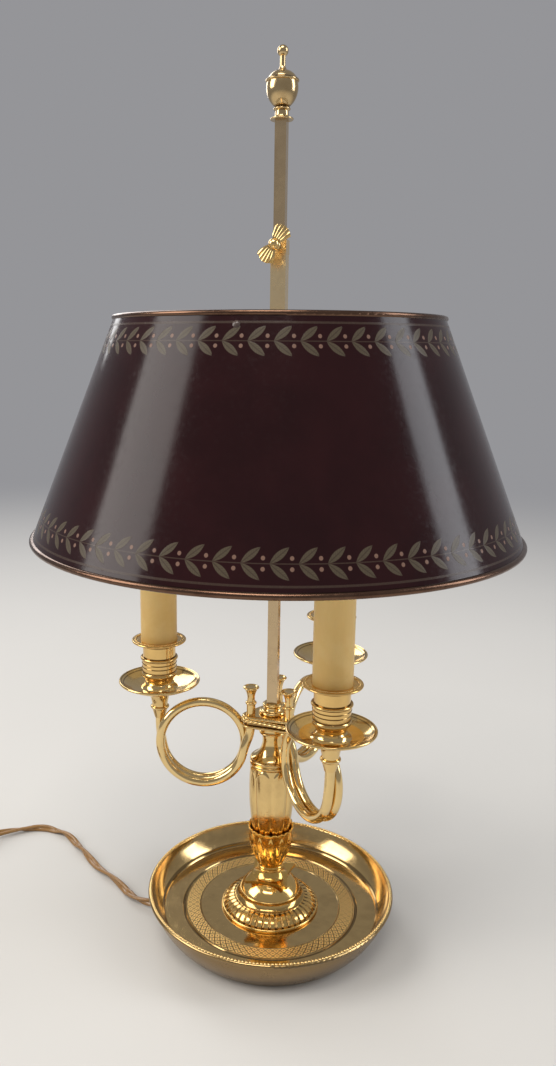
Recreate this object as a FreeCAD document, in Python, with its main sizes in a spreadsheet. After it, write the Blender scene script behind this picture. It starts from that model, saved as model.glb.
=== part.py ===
import FreeCAD, Part

import math
import os
from types import SimpleNamespace

import Sketcher
from FreeCAD import Rotation, Vector

# Bouillotte lamp. Millimetres, +Z up, origin on the floor at the centre of the base.
# Azimuths are in degrees about Z, counted from +X; the lamp is looked at along +Y.

SIZES = {
    # Dish base, spun brass with a rolled rim
    "dish_radius": 99.0,
    "dish_top": 33.0,
    "rim_bead": 1.6,
    "foot_radius": 78.7,
    "foot_lift": 0.4,
    "dish_wall": 2.4,
    "dish_side_curve": 72.0,
    "dish_inner_curve": 34.0,
    "step_radius": 86.4,
    "step_rise": 2.6,
    "floor_top": 15.0,
    "floor_wall": 2.4,
    "groove_radius": 70.0,
    "groove_depth": 0.7,
    "band_inner": 56.6,
    "band_rise": 0.4,
    "felt_thick": 2.0,
    "weight_inner": 30.0,
    "weight_margin": 9.0,
    "lead_slot": 11.0,
    "lead_block_long": 22.0,
    "lead_block_wide": 12.0,
    "lead_block_tall": 8.0,
    # Threaded tube through the column and its nut
    "tie_radius": 4.8,
    "tie_bore": 3.2,
    "tie_clearance": 0.05,
    "nut_radius": 8.6,
    "nut_tall": 5.5,
    "tie_below_nut": 1.6,
    # Foot of the column: bead, gadroons, cove and dome
    "ring_radius": 39.5,
    "ring_bead": 1.2,
    "gadroon_outer": 37.4,
    "gadroon_inner": 28.6,
    "gadroon_rise": 6.4,
    "gadroon_curve": 10.0,
    "gadroon_count": 44,
    "gadroon_cut_wide": 1.45,
    "gadroon_cut_narrow": 0.95,
    "cove_bead": 0.8,
    "dome_radius": 24.5,
    "dome_base": 16.0,
    "dome_top_radius": 13.5,
    "dome_rise": 10.0,
    "dome_curve": 19.0,
    # Square plinth on the dome
    "plinth_half": 17.6,
    "plinth_dip": 3.0,
    "plinth_corner": 1.6,
    "plinth_thick": 2.2,
    "plinth_slope": 5.2,
    "plinth_ring": 10.9,
    "plinth_ring_bead": 1.0,
    # Column: leaf cup, lobed vase and bell neck
    "cup_foot_radius": 10.7,
    "cup_waist_radius": 9.9,
    "cup_rim_radius": 17.9,
    "cup_tall": 36.0,
    "cup_lip": 1.2,
    "cup_depth": 9.0,
    "cup_curve": 60.0,
    "flute_count": 12,
    "flute_low": 1.5,
    "flute_high": 2.6,
    "scallop_count": 20,
    "scallop_radius": 2.1,
    "vase_seat_radius": 14.4,
    "vase_low_radius": 16.3,
    "vase_belly_radius": 18.2,
    "vase_top_radius": 17.6,
    "vase_tall": 61.6,
    "vase_lobes": 8,
    "vase_lobe_depth": 0.7,
    "neck_ring": 17.8,
    "neck_bead": 1.15,
    "neck_foot": 17.3,
    "neck_top": 8.0,
    "neck_rise": 20.2,
    "neck_curve": 16.5,
    "neck_collar": 10.6,
    "neck_collar_tall": 6.9,
    # Hub plate that carries the three horns, with its bands
    "hub_thick": 10.0,
    "hub_lobe_radius": 4.6,
    "band_radius": 0.9,
    "rope_radius": 1.1,
    "pedestal_low": 10.6,
    "pedestal_high": 8.0,
    "pedestal_tall": 8.6,
    # Horn arms
    "arm_azimuth": 176.9,
    "arm_turn_angle": 120.0,
    "horn_radius": 3.6,
    "strand_gap": 0.5,
    "loop_radius": 33.0,
    "loop_out": 5.2,
    "loop_drop": 15.4,
    "mouth_reach": 16.6,
    "mouth_aside": 5.4,
    "mouth_disc": 6.2,
    "mouth_stem": 3.4,
    "mouth_tall": 23.0,
    "bell_out": 1.6,
    "bell_rise": 17.6,
    "bell_tall": 24.1,
    "bell_base_radius": 4.2,
    "bell_ring": 7.0,
    "bell_ring_rise": 8.7,
    "bell_mouth": 10.2,
    "pan_radius": 32.0,
    "pan_rise": 7.6,
    "pan_bead": 1.0,
    "pan_wall": 1.2,
    "pan_boss": 11.4,
    "pan_boss_rise": 5.0,
    "candle_cup_bulge": 14.7,
    "candle_cup_body": 13.35,
    "candle_cup_upper": 12.7,
    "candle_cup_wall": 1.6,
    "candle_cup_rim": 21.0,
    "candle_cup_tall": 34.6,
    "sleeve_radius": 14.0,
    "sleeve_wall": 1.1,
    "sleeve_tall": 85.0,
    "nipple_radius": 5.0,
    "holder_radius": 11.8,
    "holder_tall": 34.0,
    "bulb_base_radius": 6.9,
    "bulb_base_tall": 22.0,
    "bulb_radius": 17.4,
    "bulb_tall": 76.0,
    # Square rod and finial
    "rod_side": 8.0,
    "rod_azimuth": 258.0,
    "rod_top": 613.0,
    "finial_flange": 8.2,
    "finial_stem": 4.9,
    "finial_lid": 11.4,
    "finial_urn_base": 9.0,
    "finial_urn_tall": 16.0,
    "finial_neck": 1.9,
    "finial_ball": 3.8,
    "finial_tall": 47.2,
    # Shade and what carries it
    "shade_bottom_radius": 179.7,
    "shade_bottom": 324.4,
    "shade_top_radius": 118.0,
    "shade_top": 482.8,
    "shade_sheet": 0.8,
    "bottom_bead": 2.2,
    "top_bead": 1.8,
    "spider_drop": 6.8,
    "spider_wide": 11.0,
    "spider_thick": 1.8,
    "spider_tab": 12.0,
    "spider_hub": 13.0,
    "rivet_radius": 2.4,
    "rivet_head": 0.9,
    "rivet_drop": 3.4,
    "slide_side": 10.8,
    "slide_gap": 0.15,
    "slide_below": 14.0,
    "slide_above": 49.5,
    "collar_side": 11.4,
    "collar_tall": 9.5,
    # Wing screw in the collar
    "screw_radius": 2.0,
    "screw_clearance": 0.05,
    "screw_reach": 13.0,
    "screw_hub": 3.6,
    "screw_hub_long": 11.0,
    "wing_span": 26.4,
    "wing_wide": 13.0,
    "wing_waist": 5.6,
    "wing_thick": 3.0,
    "wing_turn_angle": 37.0,
    # Flat twin flex with its bush, inline switch and plug
    "flex_radius": 3.2,
    "flex_floor_gap": 0.1,
    "exit_azimuth": 176.0,
    "exit_height": 7.2,
    "bush_radius": 5.2,
    "bush_nose": 3.0,
    "bush_proud": 9.8,
    "bush_clearance": 0.5,
    "switch_long": 60.0,
    "switch_wide": 27.0,
    "switch_tall": 19.0,
    "switch_split": 9.0,
    "switch_fillet": 3.0,
    "rocker_long": 21.0,
    "rocker_wide": 12.0,
    "rocker_gap": 0.5,
    "rocker_proud": 2.2,
    "rocker_depth": 6.5,
    "plug_long": 36.0,
    "plug_wide": 34.0,
    "plug_tall": 13.6,
    "pin_radius": 2.0,
    "pin_long": 19.0,
    "pin_spacing": 18.6,
    "coil_outer": 46.5,
    "coil_pitch": 7.0,
    "coil_turns_in": 3.0,
    "coil_turns_out": 2.75,
}

# The flex lies along these places on the floor, across and along, from the bush to the switch.
LEAD_ROUTE = [(-108.6, 8.0), (-132.0, 39.0), (-162.0, 69.0), (-187.0, 106.0), (-211.0, 125.0),
              (-240.0, 121.0), (-262.0, 106.0)]
SWITCH_ENTRY = (-273.2, 97.6)
SWITCH_HEADING = 216.87
# From the switch to the coil, and from the coil to the plug.
TAIL_ROUTE = [(-337.4, 49.4), (-345.6, 22.0), (-344.5, -8.0)]
COIL_CENTRE = (-298.0, -34.0)
PLUG_ENTRY = (-266.0, -90.0)
PLUG_HEADING = -38.0


class Size(float):
    """A number that carries the spreadsheet formula it was worked out from."""

    def __new__(cls, value, formula=None):
        size = float.__new__(cls, value)
        size.formula = formula or repr(float(value))
        return size

    def __add__(self, other):
        return joined(self, "+", other, float(self) + float(other))

    def __radd__(self, other):
        return joined(other, "+", self, float(other) + float(self))

    def __sub__(self, other):
        return joined(self, "-", other, float(self) - float(other))

    def __rsub__(self, other):
        return joined(other, "-", self, float(other) - float(self))

    def __mul__(self, other):
        return joined(self, "*", other, float(self) * float(other))

    def __rmul__(self, other):
        return joined(other, "*", self, float(other) * float(self))

    def __truediv__(self, other):
        return joined(self, "/", other, float(self) / float(other))

    def __rtruediv__(self, other):
        return joined(other, "/", self, float(other) / float(self))

    def __neg__(self):
        return Size(-float(self), "(-1 * " + self.formula + ")")


def half_round(radius):
    """Radius for a bead's half circle, a little large so that its two ends fix it."""
    return radius * 1.03


def text_of(value):
    return value.formula if isinstance(value, Size) else repr(float(value))


def joined(left, sign, right, value):
    return Size(value, "(" + text_of(left) + " " + sign + " " + text_of(right) + ")")


def root(value):
    return Size(math.sqrt(value), "sqrt(" + text_of(value) + ")")


def cosine(degrees):
    return Size(math.cos(math.radians(degrees)), "cos(" + text_of(degrees) + ")")


def sine(degrees):
    return Size(math.sin(math.radians(degrees)), "sin(" + text_of(degrees) + ")")


def make_sheet(document):
    sheet = document.addObject("Spreadsheet::Sheet", "Sizes")
    for row, (name, value) in enumerate(SIZES.items(), start=1):
        sheet.set("A%d" % row, name)
        sheet.set("B%d" % row, repr(value))
        sheet.setAlias("B%d" % row, name)
    document.recompute()
    return SimpleNamespace(**{name: Size(sheet.get(name), "Sizes." + name) for name in SIZES})


doc = FreeCAD.newDocument("bouillotte_lamp")
d = make_sheet(doc)
pieces = []

# Ways of making a piece


def bind(thing, place, value):
    if isinstance(value, Size):
        thing.setExpression(place, value.formula)


def plane_of(body, role):
    return [part for part in body.Origin.OriginFeatures if part.Role == role][0]


def pin_point(sketch, geometry, end, across, up):
    """Holds one end of an edge at a place given by two formulas."""
    for kind, axis, value in (("DistanceX", -2, across), ("DistanceY", -1, up)):
        if abs(value) < 1e-9:
            sketch.addConstraint(Sketcher.Constraint("PointOnObject", geometry, end, axis))
            continue
        index = sketch.addConstraint(Sketcher.Constraint(kind, -1, 1, geometry, end, float(value)))
        bind(sketch, "Constraints[%d]" % index, value)


def arc_between(start, end, radius):
    """Arc of a signed radius: a positive one bulges to the right of the way from start to end."""
    chord = end - start
    half = chord.Length / 2.0
    side = Vector(chord.y, -chord.x, 0).normalize() * (1.0 if radius > 0 else -1.0)
    deep = math.sqrt(max(float(radius) ** 2 - half ** 2, 0.0))
    centre = (start + end) / 2.0 - side * deep
    first, last = (start, end) if radius > 0 else (end, start)
    angles = [math.atan2(point.y - centre.y, point.x - centre.x) for point in (first, last)]
    circle = Part.Circle(centre, Vector(0, 0, 1), abs(float(radius)))
    return Part.ArcOfCircle(circle, angles[0], angles[1])


def outline_sketch(body, outline, role="XZ_Plane"):
    """Closed outline. A corner is (across, up), or (across, up, radius) where an arc arrives."""
    sketch = body.newObject("Sketcher::SketchObject", body.Label + "_outline")
    sketch.AttachmentSupport = (plane_of(body, role), [""])
    sketch.MapMode = "FlatFace"
    places = [Vector(float(corner[0]), float(corner[1]), 0) for corner in outline]
    ends = []
    for index, corner in enumerate(outline):
        start, end = places[index - 1], places[index]
        if len(corner) == 3:
            geometry = sketch.addGeometry(arc_between(start, end, corner[2]))
            ends.append((geometry, 1, 2) if corner[2] > 0 else (geometry, 2, 1))
        else:
            ends.append((sketch.addGeometry(Part.LineSegment(start, end)), 1, 2))
    for index, corner in enumerate(outline):
        geometry, _, end = ends[index]
        following, start, _ = ends[(index + 1) % len(ends)]
        sketch.addConstraint(Sketcher.Constraint("Coincident", geometry, end, following, start))
        pin_point(sketch, geometry, end, corner[0], corner[1])
        if len(corner) == 3:
            radius = corner[2] if corner[2] > 0 else -corner[2]
            index_of = sketch.addConstraint(Sketcher.Constraint("Radius", geometry, float(radius)))
            bind(sketch, "Constraints[%d]" % index_of, radius)
    return sketch


def new_body(name):
    body = doc.addObject("PartDesign::Body", name)
    body.Label = name
    return body


def keep(piece, name=None):
    """Counts a finished piece in, under its label."""
    if name:
        piece.Label = name
    pieces.append(piece)
    return piece


def move_to(piece, across=0.0, along=0.0, up=0.0):
    piece.Placement = FreeCAD.Placement(Vector(float(across), float(along), float(up)),
                                        piece.Placement.Rotation)
    for axis, value in (("x", across), ("y", along), ("z", up)):
        bind(piece, "Placement.Base." + axis, value)


def revolve(body, outline):
    sketch = outline_sketch(body, outline)
    turn = body.newObject("PartDesign::Revolution", body.Label + "_turned")
    turn.Profile = sketch
    turn.ReferenceAxis = (sketch, ["V_Axis"])
    turn.Angle = 360.0
    return turn


def turned(name, outline, across=0.0, along=0.0):
    """Piece turned on a lathe about its own upright axis."""
    body = new_body(name)
    revolve(body, outline)
    move_to(body, across, along)
    return keep(body)


def upright(body, outline, low, tall):
    """Pad of an outline in plan, from one height up."""
    sketch = outline_sketch(body, outline, "XY_Plane")
    sketch.AttachmentOffset = FreeCAD.Placement(Vector(0, 0, float(low)), Rotation())
    bind(sketch, "AttachmentOffset.Base.z", low)
    pad = body.newObject("PartDesign::Pad", body.Label + "_pad")
    pad.Profile = sketch
    pad.Length = float(tall)
    bind(pad, "Length", tall)
    return pad


def around(body, feature, count):
    pattern = body.newObject("PartDesign::PolarPattern", feature.Name + "_all")
    pattern.Originals = [feature]
    pattern.Axis = (plane_of(body, "Z_Axis"), [""])
    pattern.Angle = 360.0
    pattern.Occurrences = int(count)
    bind(pattern, "Occurrences", count)
    body.Tip = pattern
    return pattern


def primitive(kind, name, turn=None, at=(0.0, 0.0, 0.0), **sizes):
    """Part primitive whose sizes, and the place of its own origin, follow formulas."""
    shape = doc.addObject("Part::" + kind, name)
    shape.Label = name
    for size, value in sizes.items():
        setattr(shape, size, float(value) if size != "Polygon" else value)
        bind(shape, size, value)
    if turn is not None:
        shape.Placement = FreeCAD.Placement(Vector(), turn)
    move_to(shape, *at)
    return shape


def cut(name, base, tool):
    piece = doc.addObject("Part::Cut", name)
    piece.Base = base
    piece.Tool = tool
    return piece


def fused(name, parts):
    piece = doc.addObject("Part::MultiFuse", name)
    piece.Shapes = parts
    return piece


def formed(name, shape):
    """Piece whose shape is worked out here from the same sizes."""
    piece = doc.addObject("Part::Feature", name)
    piece.Shape = shape
    return keep(piece, name)


def tangent_arc(start, heading, end):
    """Arc from start, setting off along heading, to end."""
    chord = end - start
    along = Vector(chord).normalize()
    side = heading - along * heading.dot(along)
    if side.Length < 1e-7:
        return Part.LineSegment(start, end).toShape()
    turn = math.atan2(side.Length, heading.dot(along))
    rise = chord.Length / 2.0 * math.tan(turn / 2.0)
    middle = (start + end) / 2.0 + side.normalize() * rise
    return Part.Arc(start, middle, end).toShape()


def two_arcs(start, heading, end, final):
    """Two arcs that meet smoothly and join two places with given headings."""
    chord = end - start
    total = heading + final
    square = 2.0 * (1.0 - heading.dot(final))
    reach = chord.dot(total)
    if square < 1e-9:
        step = chord.dot(chord) / (2.0 * reach)
    else:
        step = (-reach + math.sqrt(reach * reach + square * chord.dot(chord))) / square
    meeting = (start + heading * step + end - final * step) / 2.0
    first = tangent_arc(start, heading, meeting)
    second = tangent_arc(end, final * -1.0, meeting)
    second.reverse()
    return [first, second]


def smooth_wire(stations):
    """Wire of paired arcs through (place, heading) stations."""
    edges = []
    for (start, heading), (end, final) in zip(stations, stations[1:]):
        edges += two_arcs(start, heading, end, final)
    return Part.Wire(Part.__sortEdges__(edges))


def pipe(wire, radius, start, heading):
    profile = Part.Wire([Part.Circle(start, heading, float(radius)).toShape()])
    shell = Part.BRepOffsetAPI.MakePipeShell(wire)
    shell.add(profile)
    shell.build()
    shell.makeSolid()
    return shell.shape()


def facing(azimuth, tilt=0.0):
    """Rotation that brings +X to face an azimuth."""
    return Rotation(Vector(0, 0, 1), float(azimuth)) * Rotation(Vector(0, 1, 0), float(tilt))


def turn_to(piece, azimuth):
    """Turns a piece about Z to an azimuth, by formula."""
    piece.Placement = FreeCAD.Placement(piece.Placement.Base, Rotation(Vector(0, 0, 1), float(azimuth)))
    bind(piece, "Placement.Rotation.Angle", azimuth)


# Dish base and what is inside it


def base_dish():
    bead = d.rim_bead
    under = d.floor_top - d.floor_wall
    step = d.floor_top + d.step_rise
    groove = d.groove_radius
    band = d.floor_top + d.band_rise
    body = turned("base_dish", [
        (d.tie_radius + d.tie_clearance, under),
        (d.step_radius - d.dish_wall, under),
        (d.foot_radius - d.dish_wall, d.foot_lift),
        (d.foot_radius, d.foot_lift),
        (d.dish_radius - bead, d.dish_top - bead * 2, d.dish_side_curve),
        (d.dish_radius, d.dish_top - bead, bead),
        (d.dish_radius - bead, d.dish_top, bead),
        (d.dish_radius - bead * 2, d.dish_top - bead, bead),
        (d.step_radius + 1.2, step, -d.dish_inner_curve),
        (d.step_radius, step - 0.9),
        (d.step_radius - 0.8, band),
        (groove + 1.1, band),
        (groove + 0.5, band - d.groove_depth),
        (groove - 0.5, band - d.groove_depth),
        (groove - 1.1, band),
        (d.band_inner, band),
        (d.band_inner - 0.5, d.floor_top),
        (d.tie_radius + d.tie_clearance, d.floor_top),
    ])
    doc.recompute()
    hole = body.newObject("PartDesign::SubtractiveCylinder", "bush_hole")
    hole.Radius = float(d.bush_radius)
    bind(hole, "Radius", d.bush_radius)
    hole.Height = 40.0
    start = d.foot_radius - 14.0
    hole.Placement = FreeCAD.Placement(Vector(), facing(d.exit_azimuth, 90.0))
    move_to(hole, start * cosine(d.exit_azimuth), start * sine(d.exit_azimuth), d.exit_height)


def felt_pad():
    keep(primitive("Cylinder", "felt_pad", Radius=d.foot_radius - d.dish_wall, Height=d.felt_thick))


def base_weight():
    under = d.floor_top - d.floor_wall
    tall = under - d.felt_thick
    disc = primitive("Cylinder", "weight_disc", at=(0.0, 0.0, d.felt_thick),
                     Radius=d.foot_radius - d.weight_margin, Height=tall)
    bore = primitive("Cylinder", "weight_bore", at=(0.0, 0.0, d.felt_thick), Radius=d.weight_inner,
                     Height=tall)
    slot = primitive("Box", "weight_slot", turn=facing(d.exit_azimuth),
                     at=(d.lead_slot * sine(d.exit_azimuth) / 2,
                         -d.lead_slot * cosine(d.exit_azimuth) / 2, d.felt_thick),
                     Length=d.foot_radius, Width=d.lead_slot, Height=tall)
    keep(cut("base_weight", disc, fused("weight_openings", [bore, slot])))


def lead_block():
    under = d.floor_top - d.floor_wall
    block = primitive("Box", "block_body", at=(-d.lead_block_long / 2 - 18.0, -d.lead_block_wide / 2,
                                               under - d.lead_block_tall),
                      Length=d.lead_block_long / 2, Width=d.lead_block_wide, Height=d.lead_block_tall)
    wells = [primitive("Cylinder", "block_well_%d" % side,
                       at=(-d.lead_block_long / 4 - 18.0, d.lead_block_wide * 0.22 * side,
                           under - d.lead_block_tall),
                       Radius=1.6, Height=d.lead_block_tall * 0.7) for side in (-1, 1)]
    keep(cut("lead_block", block, fused("block_wells", wells)))


def tie_rod():
    low = d.floor_top - d.floor_wall - d.nut_tall - d.tie_below_nut
    high = hub_top + d.pedestal_tall * 0.5
    tube = primitive("Cylinder", "tie_tube", at=(0.0, 0.0, low), Radius=d.tie_radius, Height=high - low)
    bore = primitive("Cylinder", "tie_hollow", at=(0.0, 0.0, low), Radius=d.tie_bore, Height=high - low)
    keep(cut("tie_rod", tube, bore))
    nut = primitive("Prism", "nut_hexagon", at=(0.0, 0.0, d.floor_top - d.floor_wall - d.nut_tall),
                    Polygon=6, Circumradius=d.nut_radius, Height=d.nut_tall)
    thread = primitive("Cylinder", "nut_thread", at=(0.0, 0.0, d.floor_top - d.floor_wall - d.nut_tall),
                       Radius=d.tie_radius + d.tie_clearance, Height=d.nut_tall)
    keep(cut("base_nut", nut, thread))


# Column, from the dish floor up. These heights follow from the pieces stacked on it.
tie_hole = d.tie_radius + d.tie_clearance
dome_base = d.floor_top + d.dome_base
plinth_base = dome_base + d.dome_rise
plinth_top = plinth_base + d.plinth_thick
cup_base = plinth_top + d.plinth_slope + d.plinth_ring_bead * 2
cup_top = cup_base + d.cup_tall
vase_base = cup_top - d.cup_depth
vase_top = vase_base + d.vase_tall
neck_base = vase_top + d.neck_bead * 4 + 1.6
neck_top = neck_base + d.neck_rise
hub_base = neck_top + d.neck_collar_tall
hub_top = hub_base + d.hub_thick
pedestal_top = hub_top + d.pedestal_tall

# Each horn hangs from the hub: its loop, then the bell, pan and candle that the loop carries.
loop_centre = d.mouth_reach + d.loop_out + d.loop_radius
loop_height = hub_base - d.loop_drop
arm_reach = loop_centre + d.loop_radius + d.bell_out
bell_base = loop_height + d.bell_rise
bell_top = bell_base + d.bell_tall
cup_floor = bell_top + d.pan_boss_rise + 1.0


def gadroon_foot():
    body = new_body("gadroon_foot")
    floor = d.floor_top
    bead = d.ring_bead
    low = floor + bead * 2
    high = low + d.gadroon_rise
    revolve(body, [
        (tie_hole, floor),
        (d.ring_radius - bead, floor),
        (d.ring_radius - bead, floor + bead * 2, half_round(bead)),
        (d.gadroon_outer, low),
        (d.gadroon_inner, high, d.gadroon_curve),
        (d.gadroon_inner - d.cove_bead, high + d.cove_bead, d.cove_bead),
        (d.gadroon_inner - d.cove_bead * 2, high + d.cove_bead),
        (d.dome_radius - d.cove_bead, dome_base - d.cove_bead * 2, -(d.dome_base * 0.42)),
        (d.dome_radius - d.cove_bead, dome_base, half_round(d.cove_bead)),
        (d.dome_top_radius, plinth_base, d.dome_curve),
        (tie_hole, plinth_base),
    ])
    doc.recompute()
    # One valley between two gadroons, a tapered cutter laid on the quarter round.
    run = d.gadroon_outer - d.gadroon_inner
    slant = root(run * run + d.gadroon_rise * d.gadroon_rise)
    lean = math.degrees(math.atan2(run, d.gadroon_rise))
    valley = body.newObject("PartDesign::SubtractiveCone", "gadroon_valley")
    valley.Radius1 = float(d.gadroon_cut_wide)
    valley.Radius2 = float(d.gadroon_cut_narrow)
    valley.Height = float(slant)
    bind(valley, "Radius1", d.gadroon_cut_wide)
    bind(valley, "Radius2", d.gadroon_cut_narrow)
    bind(valley, "Height", slant)
    valley.Placement = FreeCAD.Placement(
        Vector(float(d.gadroon_outer) + 1.5, 0, float(low) + 1.2), Rotation(Vector(0, 1, 0), -lean))
    around(body, valley, d.gadroon_count)
    keep(body)


def plinth():
    body = new_body("plinth")
    half = d.plinth_half
    nip = d.plinth_corner
    sag = d.plinth_dip
    curve = ((half - nip) * (half - nip) + sag * sag) / (sag * 2)
    corners = []
    for across, along in ((1, -1), (1, 1), (-1, 1), (-1, -1)):
        upright_side = (half * across, (half - nip) * along)
        level_side = ((half - nip) * across, half * along)
        first, second = (level_side, upright_side) if across * along < 0 else (upright_side, level_side)
        corners.append(first + (-curve,))
        corners.append(second)
    upright(body, corners, plinth_base, d.plinth_thick)
    ring = d.plinth_ring - d.plinth_ring_bead
    high = plinth_top + d.plinth_slope
    revolve(body, [
        (tie_hole, plinth_top - d.plinth_thick / 2),
        (d.plinth_half - d.plinth_dip - 0.8, plinth_top - d.plinth_thick / 2),
        (d.plinth_half - d.plinth_dip - 0.8, plinth_top),
        (ring, high, -d.plinth_slope * 1.9),
        (ring, cup_base, half_round(d.plinth_ring_bead)),
        (tie_hole, cup_base),
    ])
    hole = body.newObject("PartDesign::SubtractiveCylinder", "plinth_hole")
    hole.Radius = float(tie_hole)
    bind(hole, "Radius", tie_hole)
    hole.Height = float(cup_base)
    bind(hole, "Height", cup_base)
    turn_to(body, d.rod_azimuth)
    keep(body)


def leaf_cup():
    body = new_body("leaf_cup")
    rim = d.cup_rim_radius
    revolve(body, [
        (tie_hole, cup_base),
        (d.cup_foot_radius - 0.8, cup_base),
        (d.cup_foot_radius - 0.8, cup_base + 1.6, 0.83),
        (d.cup_waist_radius, cup_base + 3.0, -2.4),
        (rim, cup_top, d.cup_curve),
        (rim - d.cup_lip, cup_top),
        (d.vase_seat_radius + 0.4, vase_base, -d.cup_curve),
        (tie_hole, vase_base),
    ])
    doc.recompute()
    tall = cup_top - cup_base - 7.0
    lean = math.degrees(math.atan2(rim - d.cup_waist_radius, tall))
    flute = body.newObject("PartDesign::SubtractiveCone", "leaf_flute")
    flute.Radius1 = float(d.flute_low)
    flute.Radius2 = float(d.flute_high)
    flute.Height = float(tall)
    bind(flute, "Radius1", d.flute_low)
    bind(flute, "Radius2", d.flute_high)
    bind(flute, "Height", tall)
    flute.Placement = FreeCAD.Placement(
        Vector(float(d.cup_waist_radius) + 1.7, 0, float(cup_base) + 4.5), Rotation(Vector(0, 1, 0), lean))
    around(body, flute, d.flute_count)
    doc.recompute()
    notch = body.newObject("PartDesign::SubtractiveCylinder", "rim_notch")
    notch.Radius = float(d.scallop_radius)
    notch.Height = 8.0
    bind(notch, "Radius", d.scallop_radius)
    notch.Placement = FreeCAD.Placement(
        Vector(float(rim) - 5.0, 0, float(cup_top) + 1.1), Rotation(Vector(0, 1, 0), 90))
    around(body, notch, d.scallop_count)
    keep(body)


def lobed_wire(radius, depth, count, height):
    """Closed wire of equal shallow arcs that swell out between creases."""
    edges = []
    step = 2.0 * math.pi / count

    def at(angle, reach):
        return Vector(reach * math.cos(angle), reach * math.sin(angle), height)

    for lobe in range(int(count)):
        start = lobe * step
        edges.append(Part.Arc(at(start, radius - depth), at(start + step / 2.0, radius),
                              at(start + step, radius - depth)).toShape())
    return Part.Wire(edges)


def stem_vase():
    depth = float(d.vase_lobe_depth)
    count = int(d.vase_lobes)
    tall = float(d.vase_tall)
    low = float(vase_base)
    seat = float(d.vase_seat_radius)
    belly = float(d.vase_belly_radius)
    sections = [(seat - 0.3, 0.0), (seat + 0.9, 0.10), (float(d.vase_low_radius), 0.24),
                (belly - 0.5, 0.46), (belly, 0.64), (belly - 0.15, 0.84),
                (float(d.vase_top_radius), 1.0)]
    wires = [lobed_wire(radius, depth, count, low + share * tall) for radius, share in sections]
    vase = Part.makeLoft(wires, True)
    hole = Part.makeCylinder(float(tie_hole), tall + 2.0, Vector(0, 0, low - 1.0))
    formed("stem_vase", vase.cut(hole))


def stem_neck():
    bead = d.neck_bead
    ring = d.neck_ring - bead
    low = vase_top
    turned("stem_neck", [
        (tie_hole, low),
        (ring - 0.6, low),
        (ring - 0.6, low + 0.8),
        (ring, low + 0.8),
        (ring, low + 0.8 + bead * 2, half_round(bead)),
        (ring - 0.5, low + 0.8 + bead * 2),
        (ring - 0.5, low + 1.6 + bead * 2),
        (ring - 0.3, low + 1.6 + bead * 2),
        (ring - 0.3, neck_base, half_round(bead)),
        (ring - 0.8, neck_base),
        (d.neck_top, neck_top - d.neck_rise * 0.12, -d.neck_curve),
        (d.neck_top, neck_top),
        (d.neck_collar - 1.0, neck_top),
        (d.neck_collar - 1.0, neck_top + 2.0, 1.03),
        (d.neck_collar - 1.6, neck_top + 2.0),
        (d.neck_collar, hub_base, -4.2),
        (tie_hole, hub_base),
    ])


# Hub plate with its bands


def lobe_azimuth(arm):
    return d.arm_azimuth + d.arm_turn_angle * arm


def mouth_place(arm):
    """Across and along of a mouthpiece: out along its arm and a little aside."""
    azimuth = lobe_azimuth(arm)
    return (d.mouth_reach * cosine(azimuth) - d.mouth_aside * sine(azimuth),
            d.mouth_reach * sine(azimuth) + d.mouth_aside * cosine(azimuth))


def hub_corners(reach):
    """Rounded triangle round the three mouthpieces, as corners for a sketch."""
    aside = Size(math.degrees(math.atan2(d.mouth_aside, d.mouth_reach)),
                 "(atan2(" + text_of(d.mouth_aside) + "; " + text_of(d.mouth_reach) + ") / 1deg)")
    corners = []
    for arm in range(3):
        across, along = mouth_place(arm)
        for side, bulge in ((-60.0, None), (60.0, reach)):
            normal = lobe_azimuth(arm) + aside + side
            corner = (across + reach * cosine(normal), along + reach * sine(normal))
            corners.append(corner if bulge is None else corner + (bulge,))
    return corners


def hub_plate():
    body = new_body("hub_plate")
    upright(body, hub_corners(d.hub_lobe_radius), hub_base, d.hub_thick)
    hole = body.newObject("PartDesign::SubtractiveCylinder", "hub_hole")
    hole.Radius = float(tie_hole)
    hole.Height = float(hub_top)
    bind(hole, "Radius", tie_hole)
    bind(hole, "Height", hub_top)
    keep(body)


def hub_loop(reach, height):
    """Closed level path round the hub."""
    places = [Vector(float(across), float(along), height) for across, along in
              (corner[:2] for corner in hub_corners(Size(reach)))]
    edges = []
    for arm in range(3):
        first, second = places[2 * arm], places[2 * arm + 1]
        azimuth = math.radians(float(lobe_azimuth(arm)) + math.degrees(
            math.atan2(d.mouth_aside, d.mouth_reach)))
        across, along = mouth_place(arm)
        crown = Vector(float(across) + reach * math.cos(azimuth),
                       float(along) + reach * math.sin(azimuth), height)
        edges.append(Part.Arc(first, crown, second).toShape())
        edges.append(Part.LineSegment(second, places[(2 * arm + 2) % len(places)]).toShape())
    return Part.Wire(edges), places[0], (places[0] - places[-1]).normalize()


def hub_binding():
    """Two level bands round the plate's edge and one between them."""
    reach = float(d.hub_lobe_radius)
    low = float(hub_base)
    high = float(hub_top)
    bands = []
    for radius, height in ((float(d.band_radius), low + 1.1), (float(d.rope_radius), (low + high) / 2.0),
                           (float(d.band_radius), high - 1.1)):
        wire, start, heading = hub_loop(reach + radius, height)
        bands.append(pipe(wire, radius, start, heading))
    formed("hub_binding", Part.makeCompound(bands))


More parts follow.
